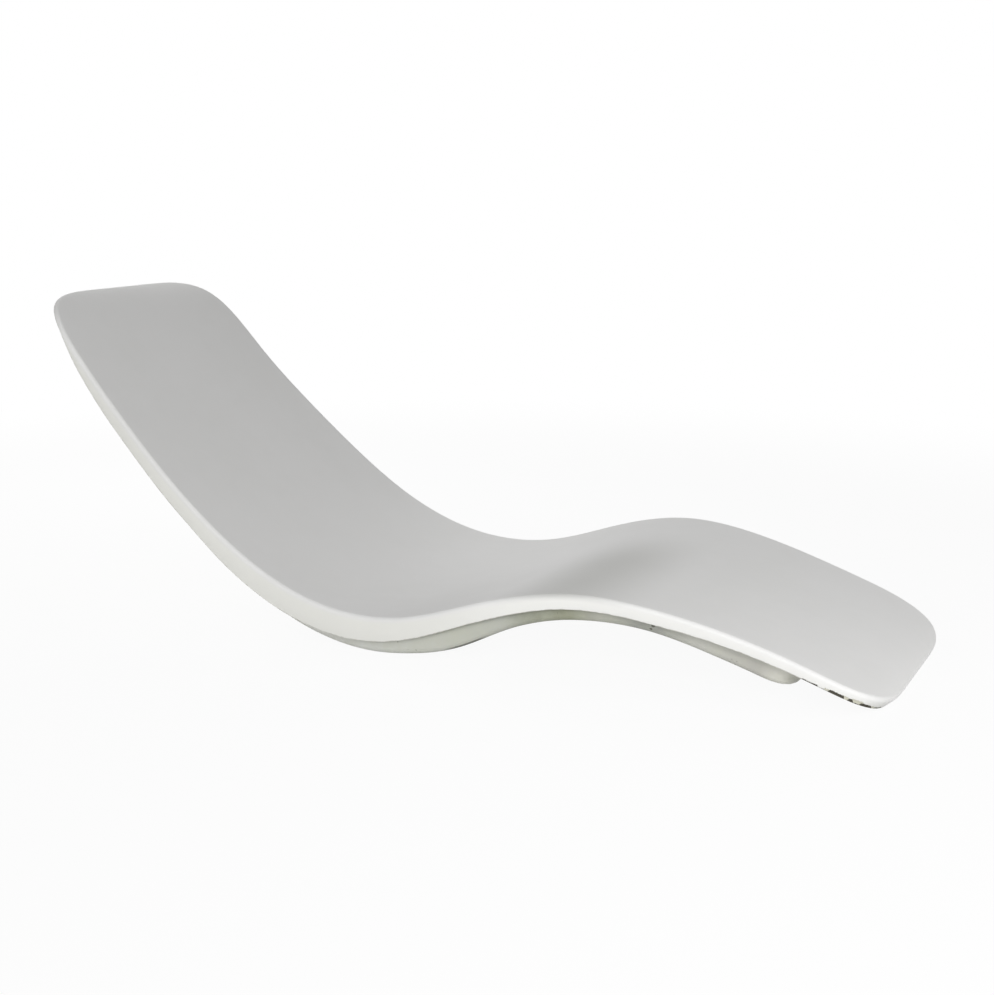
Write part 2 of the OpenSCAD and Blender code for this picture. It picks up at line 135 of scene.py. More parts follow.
@dataclass(frozen=True)
class SeatLine:
    """The side profile that every shell is formed along, with the seat's width, rim and hollow."""

    length: float = 2.040
    start_x: float = -0.8944
    start_z: float = 0.6439
    slopes: Curve = Curve((-45, -48.5, -44, -40.5, -34, -20, 0, 18.5, 12.5, -6, -14.5, -19.5, -29))
    head_roll: float = 24.0
    head_roll_length: float = 0.100
    foot_roll: float = 23.0
    foot_roll_length: float = 0.060
    widths: Curve = Curve((0.586, 0.610, 0.650, 0.674, 0.700, 0.730, 0.666, 0.598, 0.576))
    rim_depths: Curve = Curve(
        (
            0.009, 0.009, 0.022, 0.029, 0.031, 0.034, 0.037, 0.0435, 0.048, 0.0505, 0.0495,
            0.042, 0.0355, 0.032, 0.0285, 0.027, 0.026, 0.023, 0.021, 0.0205, 0.0235,
        )
    )
    least_rim: float = 0.009
    hollows: Curve = Curve((0.001, 0.008, 0.0))
    steps: int = 1020

    def slope(self, along: float) -> float:
        """Slope of the seat line in radians, downhill is negative."""
        head = max(0.0, 1 - along / self.head_roll_length)
        foot = max(0.0, 1 - (self.length - along) / self.foot_roll_length)
        rolled = self.slopes.at(along / self.length) + self.head_roll * head**2
        return math.radians(rolled - self.foot_roll * foot**2)

    def half_width(self, along: float) -> float:
        """Half of the seat's width."""
        return self.widths.at(along / self.length) / 2

    def rim_depth(self, along: float) -> float:
        """Depth of the down-turned rim."""
        return max(self.least_rim, self.rim_depths.at(along / self.length))

    def hollow(self, along: float, across: float) -> float:
        """Depth of the hollow across the seat at a place on it."""
        edge = min(1.0, abs(across) / self.half_width(along))
        return self.hollows.at(along / self.length) * (1 - edge**2)

    @cached_property
    def points(self) -> list[tuple[float, float]]:
        """The seat line's points in the frame, found by walking down the slope."""
        step = self.length / self.steps
        x, z = self.start_x, self.start_z
        found = [(x, z)]
        for i in range(self.steps):
            slope = self.slope((i + 0.5) * step)
            x += step * math.cos(slope)
            z += step * math.sin(slope)
            found.append((x, z))
        return found

    def formed(self, along: float, across: float, height: float, hollowed: bool = True) -> Vector:
        """Forms a point of a flat blank along the seat line.

        Args:
            along: Distance from the head edge along the seat line.
            across: Distance from the centre line, negative on the near side.
            height: Height above the seat's surface.
            hollowed: Whether the point follows the hollow across the seat.

        Returns:
            The point in the frame, never below the floor, where the rim is cut flat.
        """
        reach = min(max(along / self.length * self.steps, 0.0), self.steps - TINY)
        step = int(reach)
        part = reach - step
        x = self.points[step][0] * (1 - part) + self.points[step + 1][0] * part
        z = self.points[step][1] * (1 - part) + self.points[step + 1][1] * part
        slope = self.slope(min(max(along, 0.0), self.length))
        if hollowed:
            height -= self.hollow(along, across)
        return Vector((x - math.sin(slope) * height, across, max(0.0, z + math.cos(slope) * height)))


@dataclass(frozen=True)
class Corner:
    """The rounding of an outline's corner: its length on both sides, and its squareness."""

    length: float
    squareness: float

    def from_end(self, turn: float) -> float:
        """Distance from the end, at a turn from 0 at the end to a right angle at the side."""
        return self.length * (1 - max(0.0, math.cos(math.radians(turn))) ** (2 / self.squareness))

    def from_side(self, from_end: float) -> float:
        """Distance from the side, at a distance from the end."""
        share = min(max(1 - from_end / self.length, 0.0), 1.0)
        return self.length * (1 - (1 - share**self.squareness) ** (1 / self.squareness))


@dataclass(frozen=True)
class Outline:
    """A rounded outline on the seat line's ribbon, the same on both sides of the centre line."""

    line: SeatLine
    start: float
    end: float
    side: float
    head: Corner
    foot: Corner
    corner_steps: int = 40
    side_steps: int = 160
    end_steps: int = 8
    at_side: float = 0.9999

    def reach(self, along: float) -> float:
        """Distance of the outline from the centre line."""
        rounded = self.head.from_side(along - self.start) + self.foot.from_side(self.end - along)
        return self.line.half_width(along) - self.side - rounded

    @cached_property
    def track(self) -> list[Vector]:
        """The near half of the outline, from the head's centre to the foot's centre."""
        turns = [RIGHT_ANGLE * i / self.corner_steps for i in range(self.corner_steps + 1)]
        head = self.start + self.head.length
        foot = self.end - self.foot.length
        later: list[float] = []
        if foot > head:
            later += [head + (foot - head) * i / self.side_steps for i in range(1, self.side_steps)]
        later += [self.end - self.foot.from_end(turn) for turn in reversed(turns)]
        stations = [self.start + self.head.from_end(turn) for turn in turns]
        stations += [along for along in later if along > head + SLIVER]
        at_head, at_foot = self.across_end(self.start), self.across_end(self.end)
        return at_head + [Vector((along, -self.reach(along))) for along in stations] + at_foot[::-1]

    def across_end(self, along: float) -> list[Vector]:
        """The near half of a straight end, from the centre line out."""
        return [Vector((along, -self.reach(along) * i / self.end_steps)) for i in range(self.end_steps)]

    @cached_property
    def inward(self) -> list[Vector]:
        """The direction into the outline at each point of the track."""
        found = []
        last = len(self.track) - 1
        for i in range(last + 1):
            before = self.track[i - 1] if i > 0 else Vector((self.track[1].x, -self.track[1].y))
            after = self.track[i + 1] if i < last else Vector((self.track[-2].x, -self.track[-2].y))
            way = (after - before).normalized()
            found.append(Vector((-way.y, way.x)))
        return found

    @cached_property
    def lengths(self) -> list[float]:
        """Distance along the track at each of its points."""
        found = [0.0]
        for before, after in zip(self.track, self.track[1:]):
            found.append(found[-1] + (after - before).length)
        return found

    @cached_property
    def corner_lengths(self) -> tuple[float, float]:
        """Distance along the track of the middles of the two corners."""
        middle = self.end_steps + self.corner_steps // 2
        return self.lengths[middle], self.lengths[-1 - middle]

    def place(self, u: float, v: float, inset: float = 0.0) -> Vector:
        """Finds the outline's point that belongs to a point on the edge of the square blank.

        Args:
            u: Place along the square, from -1 at the head to 1 at the foot.
            v: Place across the square, from -1 on the near side to 1 on the far side.
            inset: How far the point is moved into the outline.

        Returns:
            Its place along and across the ribbon.
        """
        head, foot = self.corner_lengths
        if abs(v) >= self.at_side:
            reach = head + (u + 1) / 2 * (foot - head)
        elif u < 0:
            reach = head * abs(v)
        else:
            reach = self.lengths[-1] - (self.lengths[-1] - foot) * abs(v)
        step = min(max(bisect_right(self.lengths, reach) - 1, 0), len(self.track) - 2)
        part = (reach - self.lengths[step]) / (self.lengths[step + 1] - self.lengths[step])
        point = self.track[step].lerp(self.track[step + 1], part)
        point += inset * self.inward[step].lerp(self.inward[step + 1], part).normalized()
        return Vector((point.x, -point.y if v > 0 else point.y))


@dataclass(frozen=True)
class Grid:
    """How a sheet is divided: a grid inside, then rings that lie ever closer to the outline.

    The grid's corners lie core_inset inside the outline and the rings lie at insets, the largest first.
    The blend steps between them turn from the grid's straight ends to round ones.
    """

    core_inset: float
    insets: tuple[float, ...]
    columns: int
    rows: int
    blend_steps: int = 2


class Blank:
    """A flat blank in ribbon space, with an open edge that is extruded ring by ring."""

    def __init__(self, outline: Outline) -> None:
        """Starts an empty blank for an outline."""
        self.outline = outline
        self.mesh = bmesh.new()
        self.u = self.mesh.verts.layers.float.new("blank_u")
        self.v = self.mesh.verts.layers.float.new("blank_v")
        self.rim: Edges = []

    @classmethod
    def sheet(cls, outline: Outline, grid: Grid, flipped: bool = False) -> Blank:
        """Starts a blank as a sheet that is grown out to an outline.

        Args:
            outline: The outline.
            grid: How the sheet is divided.
            flipped: Whether its faces look down.

        Returns:
            The blank, with the outline as its open edge.
        """
        blank = cls(outline)
        bmesh.ops.create_grid(blank.mesh, x_segments=grid.columns, y_segments=grid.rows, size=1.0)
        for vert in blank.mesh.verts:
            vert[blank.u], vert[blank.v] = vert.co.x, vert.co.y
            vert.co = blank.core(vert.co.x, vert.co.y, grid.core_inset)
        blank.rim = [edge for edge in blank.mesh.edges if edge.is_boundary]
        if flipped:
            blank.turn_over()
        for i in range(1, grid.blend_steps):
            share = i / grid.blend_steps
            blank.extrude(
                lambda u, v, old: blank.core(u, v, grid.core_inset).lerp(
                    blank.lifted(u, v, grid.insets[0], 0.0), share
                )
            )
        for inset in (*grid.insets, 0.0):
            blank.ring(inset, 0.0)
        return blank

    @classmethod
    def hoop(cls, outline: Outline, counts: tuple[int, int], inset: float, height: float) -> Blank:
        """Starts a blank as a closed ring of edges round the outline, which is its open edge.

        Args:
            outline: The outline that the ring follows.
            counts: Edges along each side and along each end.
            inset: Distance of the ring inside the outline.
            height: The ring's height.

        Returns:
            The blank.
        """
        blank = cls(outline)
        sides, ends = ([2 * i / count - 1 for i in range(count)] for count in counts)
        square = [(u, -1.0) for u in sides] + [(1.0, v) for v in ends]
        square += [(-u, 1.0) for u in sides] + [(-1.0, -v) for v in ends]
        made = bmesh.ops.create_circle(blank.mesh, segments=len(square), radius=1.0)
        for vert, (u, v) in zip(made["verts"], square):
            vert[blank.u], vert[blank.v] = u, v
            vert.co = blank.lifted(u, v, inset, height)
        blank.rim = list(blank.mesh.edges)
        return blank

    def core(self, u: float, v: float, inset: float) -> Vector:
        """A point of the sheet inside the outline, for a point of the square blank."""
        near = self.outline.place(u, -1.0, inset)
        return Vector((near.x, -near.y * v, 0.0))

    def extrude(self, move: Mover) -> None:
        """Extrudes the open edge once.

        Args:
            move: Where each new vertex goes, from its place on the square blank and its old place.
        """
        verts, self.rim = extruded(self.mesh, self.rim)
        for vert in verts:
            vert.co = move(vert[self.u], vert[self.v], vert.co)

    def ring(self, inset: float, height: float) -> None:
        """Extrudes the open edge to a distance inside the outline and a height."""
        self.extrude(lambda u, v, old: self.lifted(u, v, inset, height))

    def lifted(self, u: float, v: float, inset: float, height: float) -> Vector:
        """The outline's point for a point on the square blank's edge, moved inwards and up."""
        flat = self.outline.place(u, v, inset)
        return Vector((flat.x, flat.y, height))

    def round_over(self, edges: Iterable[bmesh.types.BMEdge], radius: float, segments: int) -> None:
        """Rounds edges over to a radius."""
        bmesh.ops.bevel(
            self.mesh,
            geom=list(edges),
            offset=radius,
            offset_type="OFFSET",
            segments=segments,
            profile=0.5,
            affect="EDGES",
            material=-1,
            clamp_overlap=False,
        )

    def thicken(self, thickness: float, finish: int = 0) -> None:
        """Gives the blank a wall, whose other side and edge take a finish by its number."""
        front = list(self.mesh.faces)
        bmesh.ops.solidify(self.mesh, geom=front, thickness=thickness)
        for face in set(self.mesh.faces).difference(front):
            face.material_index = finish

    def face_out(self) -> None:
        """Turns all faces to look to the same side, which is outward on a closed mesh."""
        bmesh.ops.recalc_face_normals(self.mesh, faces=list(self.mesh.faces))

    def turn_over(self) -> None:
        """Turns every face to look the other way."""
        bmesh.ops.reverse_faces(self.mesh, faces=list(self.mesh.faces))

    def store(self, name: str, value: Callable[[Vector], float]) -> None:
        """Stores a number at each vertex, worked out from its place in ribbon space."""
        layer = self.mesh.verts.layers.float.new(name)
        for vert in self.mesh.verts:
            vert[layer] = value(vert.co)

    def form(self, where: Callable[[Vector], Vector]) -> None:
        """Moves every vertex from ribbon space to the frame."""
        for vert in self.mesh.verts:
            vert.co = where(vert.co)


class Recipe:
    """Adds nodes to a node tree and joins them."""

    def __init__(self, tree: bpy.types.NodeTree) -> None:
        """Starts with a tree."""
        self.tree = tree

    @cached_property
    def place(self) -> Socket:
        """Object coordinates."""
        return self.add("ShaderNodeTexCoord").outputs["Object"]

    @cached_property
    def across(self) -> Socket:
        """The place across the lounger, negative on the near side."""
        return self.add("ShaderNodeSeparateXYZ", {0: self.place}).outputs["Y"]

    def add(
        self, kind: str, inputs: dict[str | int, object] | None = None, **settings: object
    ) -> bpy.types.Node:
        """Adds a node.

        Args:
            kind: The node's type.
            inputs: Values or sockets for its inputs, by name or number.
            settings: Its other properties.

        Returns:
            The node.
        """
        node = self.tree.nodes.new(kind)
        for name, value in settings.items():
            setattr(node, name, value)
        for name, value in (inputs or {}).items():
            self.feed(node.inputs[name], value)
        return node

    def feed(self, socket: Socket, value: object) -> None:
        """Joins a socket to another one, or gives it a value."""
        if isinstance(value, Socket):
            self.tree.links.new(value, socket)
        else:
            socket.default_value = value

    def math(self, operation: str, first: object, second: object, clamp: bool = False) -> Socket:
        """One step of arithmetic."""
        node = self.add("ShaderNodeMath", {0: first, 1: second}, operation=operation, use_clamp=clamp)
        return node.outputs[0]

    def times(self, first: object, second: object, clamp: bool = False) -> Socket:
        """The product of two values."""
        return self.math("MULTIPLY", first, second, clamp)

    def measure(self, operation: str, second: Triple = (0.0, 0.0, 0.0)) -> Socket:
        """A number worked out from the object coordinates and a second vector."""
        node = self.add("ShaderNodeVectorMath", {0: self.place, 1: second}, operation=operation)
        return node.outputs["Value"]

    def noise(self, place: object, scale: object, detail: float, rough: float) -> Socket:
        """Soft noise from 0 to 1, with scale in features a metre."""
        values = {"Vector": place, "Scale": scale, "Detail": detail, "Roughness": rough}
        return self.add("ShaderNodeTexNoise", values).outputs["Fac"]

    def cells(self, place: object, scale: object) -> Socket:
        """Distance from the nearest of many scattered points, with scale in points a metre."""
        return self.add("ShaderNodeTexVoronoi", {"Vector": place, "Scale": scale}).outputs["Distance"]

    def ease(self, value: object, low: float, high: float) -> Socket:
        """Rises smoothly from 0 at low to 1 at high, or falls where low is the larger."""
        settings = {"Value": value, "From Min": low, "From Max": high, "To Min": 0.0, "To Max": 1.0}
        node = self.add("ShaderNodeMapRange", settings, interpolation_type="SMOOTHSTEP")
        return node.outputs["Result"]

    def between(self, value: object, low: float, high: float, soft: float) -> Socket:
        """Is 1 between low and high, with soft ends."""
        risen = self.ease(value, low - soft, low + soft)
        return self.times(risen, self.ease(value, high + soft, high - soft))

    def span(self, value: object, low: float, high: float) -> Socket:
        """Turns a value from 0 to 1 into one from low to high."""
        node = self.add("ShaderNodeMapRange", {"Value": value, "To Min": low, "To Max": high})
        return node.outputs["Result"]

    def blend(self, share: object, first: object, second: object, most: float = 1.0) -> Socket:
        """Blends two colours, with no more of the second than most says."""
        factor = share if most == 1.0 else self.times(share, most)
        return self.add("ShaderNodeMix", {0: factor, 6: first, 7: second}, data_type="RGBA").outputs[2]

    def ramp(self, value: object, stops: Sequence[tuple[float, Colour]]) -> Socket:
        """A colour that changes smoothly through stops from 0 to 1."""
        node = self.add("ShaderNodeValToRGB", {0: value})
        points = node.color_ramp.elements
        while len(points) < len(stops):
            points.new(1.0)
        for point, (share, shade) in zip(points, stops):
            point.position, point.color = share, shade
        return node.outputs["Color"]

    def attribute(self, name: str) -> Socket:
        """A number that the mesh carries at each vertex."""
        return self.add("ShaderNodeAttribute", attribute_name=name).outputs["Fac"]

    def mapped(self, place: object, **change: Triple) -> Socket:
        """Coordinates turned or scaled apart along the three axes."""
        return self.add("ShaderNodeMapping", {"Vector": place} | change).outputs["Vector"]


class Effect(Enum):
    """Effects that more than one finish uses, each a node group: its name, inputs and output."""

    MOTTLE = ("mottled_tint", ("Vector", "Colour", "Tint", "Scale", "Amount"), "Colour")
    SPECKS = ("dark_specks", ("Vector", "Scale", "Size"), "Mask")
    PEEL = ("gelcoat_peel", ("Vector", "Scale"), "Height")


class EffectShelf:
    """Builds each shared effect once."""

    SOCKET_TYPES = {"Vector": "NodeSocketVector", "Colour": "NodeSocketColor", "Tint": "NodeSocketColor"}
    NUMBER = "NodeSocketFloat"
    FINE_PATCHES = 7.0
    WIDE_SHARE = 0.7
    WAVE_SCALE = 0.12
    FINE_PEEL = 0.25

    def __init__(self) -> None:
        """Starts with no effects built."""
        self.built: dict[Effect, bpy.types.NodeTree] = {}

    def tree(self, effect: Effect) -> bpy.types.NodeTree:
        """The node group of an effect."""
        if effect not in self.built:
            makers = {Effect.MOTTLE: self.mottle, Effect.SPECKS: self.specks, Effect.PEEL: self.peel}
            name, inputs, output = effect.value
            made = bpy.data.node_groups.new(name, "ShaderNodeTree")
            for item, way in [(item, "INPUT") for item in inputs] + [(output, "OUTPUT")]:
                kind = self.SOCKET_TYPES.get(item, self.NUMBER)
                made.interface.new_socket(name=item, in_out=way, socket_type=kind)
            recipe = Recipe(made)
            outside = recipe.add("NodeGroupInput")
            given = {item: outside.outputs[item] for item in inputs}
            recipe.add("NodeGroupOutput", {0: makers[effect](recipe, given)})
            self.built[effect] = made
        return self.built[effect]

    def mottle(self, recipe: Recipe, given: dict[str, Socket]) -> Socket:
        """Uneven tint: a colour that drifts towards another in soft patches of two sizes."""
        fine_scale = recipe.times(given["Scale"], self.FINE_PATCHES)
        wide = recipe.noise(given["Vector"], given["Scale"], detail=3.0, rough=0.6)
        fine = recipe.noise(given["Vector"], fine_scale, detail=4.0, rough=0.65)
        narrow = recipe.times(fine, 1 - self.WIDE_SHARE)
        both = recipe.math("ADD", recipe.times(wide, self.WIDE_SHARE), narrow)
        share = recipe.times(recipe.ease(both, low=0.38, high=0.66), given["Amount"], clamp=True)
        return recipe.blend(share, given["Colour"], given["Tint"])

    def specks(self, recipe: Recipe, given: dict[str, Socket]) -> Socket:
        """Mask of small scattered specks, of which noise leaves only some."""
        chance = recipe.noise(given["Vector"], scale=31.0, detail=1.0, rough=0.5)
        size = recipe.times(given["Size"], recipe.ease(chance, low=0.52, high=0.68))
        inside = recipe.math("SUBTRACT", size, recipe.cells(given["Vector"], given["Scale"]))
        steepness = 9.0
        return recipe.times(inside, steepness, clamp=True)

    def peel(self, recipe: Recipe, given: dict[str, Socket]) -> Socket:
        """Height of the faint unevenness that a moulded surface has."""
        wavy_scale = recipe.times(given["Scale"], self.WAVE_SCALE)
        fine = recipe.noise(given["Vector"], given["Scale"], detail=2.0, rough=0.5)
        wavy = recipe.noise(given["Vector"], wavy_scale, detail=1.0, rough=0.5)
        return recipe.math("ADD", recipe.times(fine, self.FINE_PEEL), wavy)


class Coating(Recipe):
    """A material's recipe, with the shared effects at hand."""

    def __init__(self, tree: bpy.types.NodeTree, shelf: EffectShelf) -> None:
        """Starts with a tree and the shelf of effects."""
        super().__init__(tree)
        self.shelf = shelf

    def effect(self, effect: Effect, **inputs: object) -> Socket:
        """Places a shared effect, over the object coordinates where no other vector is given."""
        given = {"Vector": self.place} | inputs
        return self.add("ShaderNodeGroup", given, node_tree=self.shelf.tree(effect)).outputs[0]

    def grain(self, scale: float, detail: float, rough: float, stretch: Triple | None = None) -> Socket:
        """Noise over the object, squeezed along the axes whose stretch is large."""
        place = self.mapped(self.place, Scale=stretch) if stretch else self.place
        return self.noise(place, scale, detail, rough)


class Surface(NamedTuple):
    """What a finish gives its shader: a colour, a roughness, and a height in units of its bump."""

    shade: Socket
    rough: Socket
    height: Socket


@dataclass(frozen=True)
class Finish:
    """A surface finish, built as a material when it is first asked for."""

    name: str
    base: Colour
    tint: Colour
    roughness: tuple[float, float] = (0.45, 0.55)
    bump: float = 0.0002
    gloss: float = 0.5
    metallic: float = 0.0
    rounding: float = 0.0

    def material(self, shelf: EffectShelf) -> bpy.types.Material:
        """Builds the material, with edges that look rounded where this finish has a rounding."""
        made = bpy.data.materials.new(self.name)
        made.diffuse_color = self.base
        coat = Coating(emptied(made), shelf)
        shade, rough, height = self.surface(coat)
        relief = {"Height": height, "Distance": self.bump}
        if self.rounding:
            relief["Normal"] = coat.add("ShaderNodeBevel", {"Radius": self.rounding}).outputs["Normal"]
        values = {
            "Base Color": shade,
            "Roughness": rough,
            "Metallic": self.metallic,
            "Specular IOR Level": self.gloss,
            "Normal": coat.add("ShaderNodeBump", relief).outputs["Normal"],
        }
        shader = coat.add("ShaderNodeBsdfPrincipled", values)
        coat.add("ShaderNodeOutputMaterial", {"Surface": shader.outputs[0]})
        return made

    def surface(self, coat: Coating) -> Surface:
        """This finish's colour, roughness and height."""
        raise NotImplementedError

    def mottled(self, coat: Coating, scale: float, amount: float) -> Socket:
        """The base colour, drifting towards the tint."""
        return coat.effect(Effect.MOTTLE, Colour=self.base, Tint=self.tint, Scale=scale, Amount=amount)


class Wear(Enum):
    """What shows where the gelcoat has broken away: its colour and how far down it lies."""

    PALE = (colour(0.560, 0.550, 0.460), 2.0)
    GREY = (colour(0.330, 0.330, 0.290), 3.0)
    DARK = (colour(0.075, 0.070, 0.055), 5.0)


@dataclass(frozen=True)
class Chip:
    """A stretch of the rim's lower edge where the gelcoat has broken away."""

    start: float
    end: float
    height: float
    wear: Wear = Wear.DARK


@dataclass(frozen=True)
class Gelcoat(Finish):
    """White moulded gelcoat, softly glossy, chipped along the rim's lower edge at the foot end."""

    yellowed: Colour = colour(0.800, 0.800, 0.740)
    # Painted shade: the darker grey that colours the near side of the knee crest.
    painted_knee_shade: Colour = colour(0.570, 0.570, 0.550)
    dark_tone: Colour = colour(0.300, 0.290, 0.240)
    chips: tuple[Chip, ...] = (
        Chip(1.927, 1.938, 0.0044, Wear.PALE),
        Chip(1.958, 1.974, 0.0062, Wear.PALE),
        Chip(1.976, 1.997, 0.0078, Wear.PALE),
        Chip(2.008, 2.020, 0.0048, Wear.PALE),
        Chip(1.917, 1.936, 0.0010, Wear.GREY),
        Chip(2.017, 2.028, 0.0042, Wear.GREY),
        Chip(1.885, 1.904, 0.0016),
        Chip(1.901, 1.917, 0.0022),
        Chip(1.936, 1.963, 0.0054),
        Chip(1.971, 1.979, 0.0056),
        Chip(1.977, 1.993, 0.0016),
        Chip(1.991, 2.011, 0.0054),
    )
    ragged: float = 0.005
    taper: float = 0.0022
    dug_roughness: float = 0.1
    peel_share: float = 0.08

    def surface(self, coat: Coating) -> Surface:
        """Mottled white with painted shade over the near side of the knee crest, yellowed and grimy low on
        the rim, with chips.
        """
        along = coat.attribute("along")
        edge = coat.attribute("edge")
        tinted = self.mottled(coat, scale=3.0, amount=0.8)
        # Painted shade: the near side of the knee crest is darkened in colour to stand for the shade that
        # falls there. The rim is left out of it.
        near = coat.ease(coat.across, low=0.22, high=-0.08)
        knee_shade_mask = coat.times(coat.between(along, low=1.36, high=1.52, soft=0.08), near)
        knee_shaded = coat.blend(knee_shade_mask, tinted, self.painted_knee_shade, most=0.90)
        on_rim = coat.ease(coat.attribute("down"), low=0.003, high=0.014)
        yellowing = coat.span(coat.ease(along, low=1.5, high=1.0), low=0.25, high=0.60)
        rim_unshaded = coat.blend(on_rim, knee_shaded, tinted)
        aged = coat.blend(coat.times(on_rim, yellowing), rim_unshaded, self.yellowed)
        broken = coat.ease(coat.grain(scale=60.0, detail=3.0, rough=0.6), low=0.35, high=0.62)
        line = coat.times(coat.ease(edge, low=0.0022, high=0.0004), broken)
        lined = coat.blend(line, aged, self.dark_tone, most=0.55)
        shade, dug = self.chipped(coat, lined)
        smear = coat.grain(scale=9.0, detail=5.0, rough=0.62, stretch=(1.0, 2.2, 1.0))
        smooth = coat.span(smear, *self.roughness)
        rough = coat.math("ADD", smooth, coat.times(dug, self.dug_roughness), clamp=True)
        peel = coat.effect(Effect.PEEL, Scale=420.0)
        return Surface(shade, rough, coat.math("SUBTRACT", coat.times(peel, self.peel_share), dug))

    def chipped(self, coat: Coating, whole: Socket) -> tuple[Socket, Socket]:
        """Breaks the gelcoat away along the near side's lower edge, chip by chip.

        Args:
            coat: The material's recipe.
            whole: The unbroken gelcoat's colour.

        Returns:
            The colour with the chips, and how deep the surface is broken away.
        """
        along = self.wavering(coat, "along", scale=110.0, rough=0.6)
        edge = self.wavering(coat, "edge", scale=260.0, rough=0.7)
        near = coat.math("LESS_THAN", coat.across, 0.0)
        shade = whole
        depth: object = 0.0
        for chip in self.chips:
            bare, fall = chip.wear.value
            taper = coat.between(along, chip.start, chip.end, self.taper)
            over_top = coat.math("SUBTRACT", edge, coat.times(taper, chip.height))
            under = coat.ease(over_top, low=0.0003, high=-0.0005)
            mask = coat.times(coat.times(under, coat.ease(taper, low=0.1, high=0.4)), near)
            shade = coat.blend(mask, shade, bare)
            depth = coat.math("MAXIMUM", depth, coat.times(mask, fall))
        return shade, depth

    def wavering(self, coat: Coating, name: str, scale: float, rough: float) -> Socket:
        """One of the mesh's distances, made ragged by noise."""
        middle = 0.5
        swing = coat.math("SUBTRACT", coat.grain(scale, detail=3.0, rough=rough), middle)
        return coat.math("ADD", coat.attribute(name), coat.times(swing, self.ragged))


@dataclass(frozen=True)
class Mark:
    """A small dark mark on a surface: its place in the frame and its radius."""

    place: Triple
    radius: float


@dataclass(frozen=True)
class PanCoat(Finish):
    """Grey top-coated laminate, greenest under the knee, with specks and a few marks; its colour along the
    pan is partly painted shade, darkest under the knee.
    """

    # Colours along the pan: partly the laminate's own tint, and partly painted shade (darkest under the knee
    # arch) and painted light (at the calf end).
    tones_and_painted_shade: tuple[tuple[float, Colour], ...] = (
        (0.90, colour(0.690, 0.690, 0.660)),
        (1.11, colour(0.610, 0.620, 0.590)),
        (1.18, colour(0.540, 0.550, 0.505)),
        (1.31, colour(0.425, 0.435, 0.395)),
        (1.36, colour(0.250, 0.260, 0.205)),
        (1.45, colour(0.265, 0.275, 0.195)),
        (1.51, colour(0.400, 0.400, 0.360)),
        (1.60, colour(0.280, 0.285, 0.265)),
        (1.69, colour(0.490, 0.490, 0.450)),
        (1.81, colour(0.420, 0.410, 0.385)),
        (1.85, colour(0.700, 0.690, 0.640)),
    )
    reach: float = 1.900
    blush: Colour = colour(0.500, 0.510, 0.430)
    # A dark colour for the specks and marks, and for the painted shade along the belly's lower edge.
    dark_tone: Colour = colour(0.085, 0.085, 0.065)
    marks: tuple[Mark, ...] = (
        Mark((0.493, -0.300, 0.124), 0.0040),
        Mark((0.489, -0.301, 0.116), 0.0042),
        Mark((0.718, -0.274, 0.066), 0.0016),
        Mark((0.718, -0.274, 0.061), 0.0016),
        Mark((0.321, -0.325, 0.131), 0.0014),
        Mark((0.345, -0.321, 0.138), 0.0014),
        Mark((0.279, -0.331, 0.116), 0.0012),
        Mark((0.136, -0.344, 0.071), 0.0015),
        Mark((0.116, -0.344, 0.076), 0.0018),
    )
    mark_fade: float = 0.0018
    mark_wobble: float = 0.0028
    pit_depth: float = 1.5

    def surface(self, coat: Coating) -> Surface:
        """Blotched grey with specks, marks and a painted line of shade at the belly's lower edge."""
        along = coat.attribute("along")
        stops = [(start / self.reach, shade) for start, shade in self.tones_and_painted_shade]
        # Painted shade and light along the pan, over the laminate's own tint.
        shaded = coat.ramp(coat.math("DIVIDE", along, self.reach), stops)
        tinted = coat.effect(Effect.MOTTLE, Colour=shaded, Tint=self.tint, Scale=11.0, Amount=0.35)
        squeezed = coat.mapped(coat.place, Scale=(1.0, 1.0, 1.7))
        blotched = coat.effect(
            Effect.MOTTLE, Vector=squeezed, Colour=tinted, Tint=self.blush, Scale=6.5, Amount=0.30
        )
        specks = coat.effect(Effect.SPECKS, Scale=120.0, Size=0.26)
        dotted = coat.blend(specks, blotched, self.dark_tone, most=0.35)
        # Painted shade: a dark line along the belly's lower edge, where the wall turns under.
        drawn = coat.blend(self.painted_belly_shade(coat, along), dotted, self.dark_tone, most=0.9)
        spots = self.spots(coat)
        rough = coat.span(coat.grain(scale=40.0, detail=4.0, rough=0.6), *self.roughness)
        pits = coat.times(coat.math("MAXIMUM", specks, spots), self.pit_depth)
        height = coat.math("SUBTRACT", coat.effect(Effect.PEEL, Scale=240.0), pits)
        return Surface(coat.blend(spots, drawn, self.dark_tone), rough, height)

    def painted_belly_shade(self, coat: Coating, along: Socket) -> Socket:
        """Mask of the painted line of shade low on the wall, where the belly is deepest."""
        stretch = coat.between(along, low=1.180, high=1.262, soft=0.02)
        by_wall = coat.ease(coat.math("ABSOLUTE", coat.across, 0.0), low=0.305, high=0.325)
        low = coat.ease(coat.attribute("edge"), low=0.0052, high=0.0030)
        return coat.times(coat.times(stretch, low), by_wall)

    def spots(self, coat: Coating) -> Socket:
        """Mask of the marks, each with an uneven edge."""
        found: object = 0.0
        wobble = coat.times(coat.grain(scale=260.0, detail=2.0, rough=0.6), self.mark_wobble)
        for mark in self.marks:
            away = coat.math("ADD", coat.measure("DISTANCE", mark.place), wobble)
            found = coat.math("MAXIMUM", found, coat.ease(away, mark.radius + self.mark_fade, mark.radius))
        return found


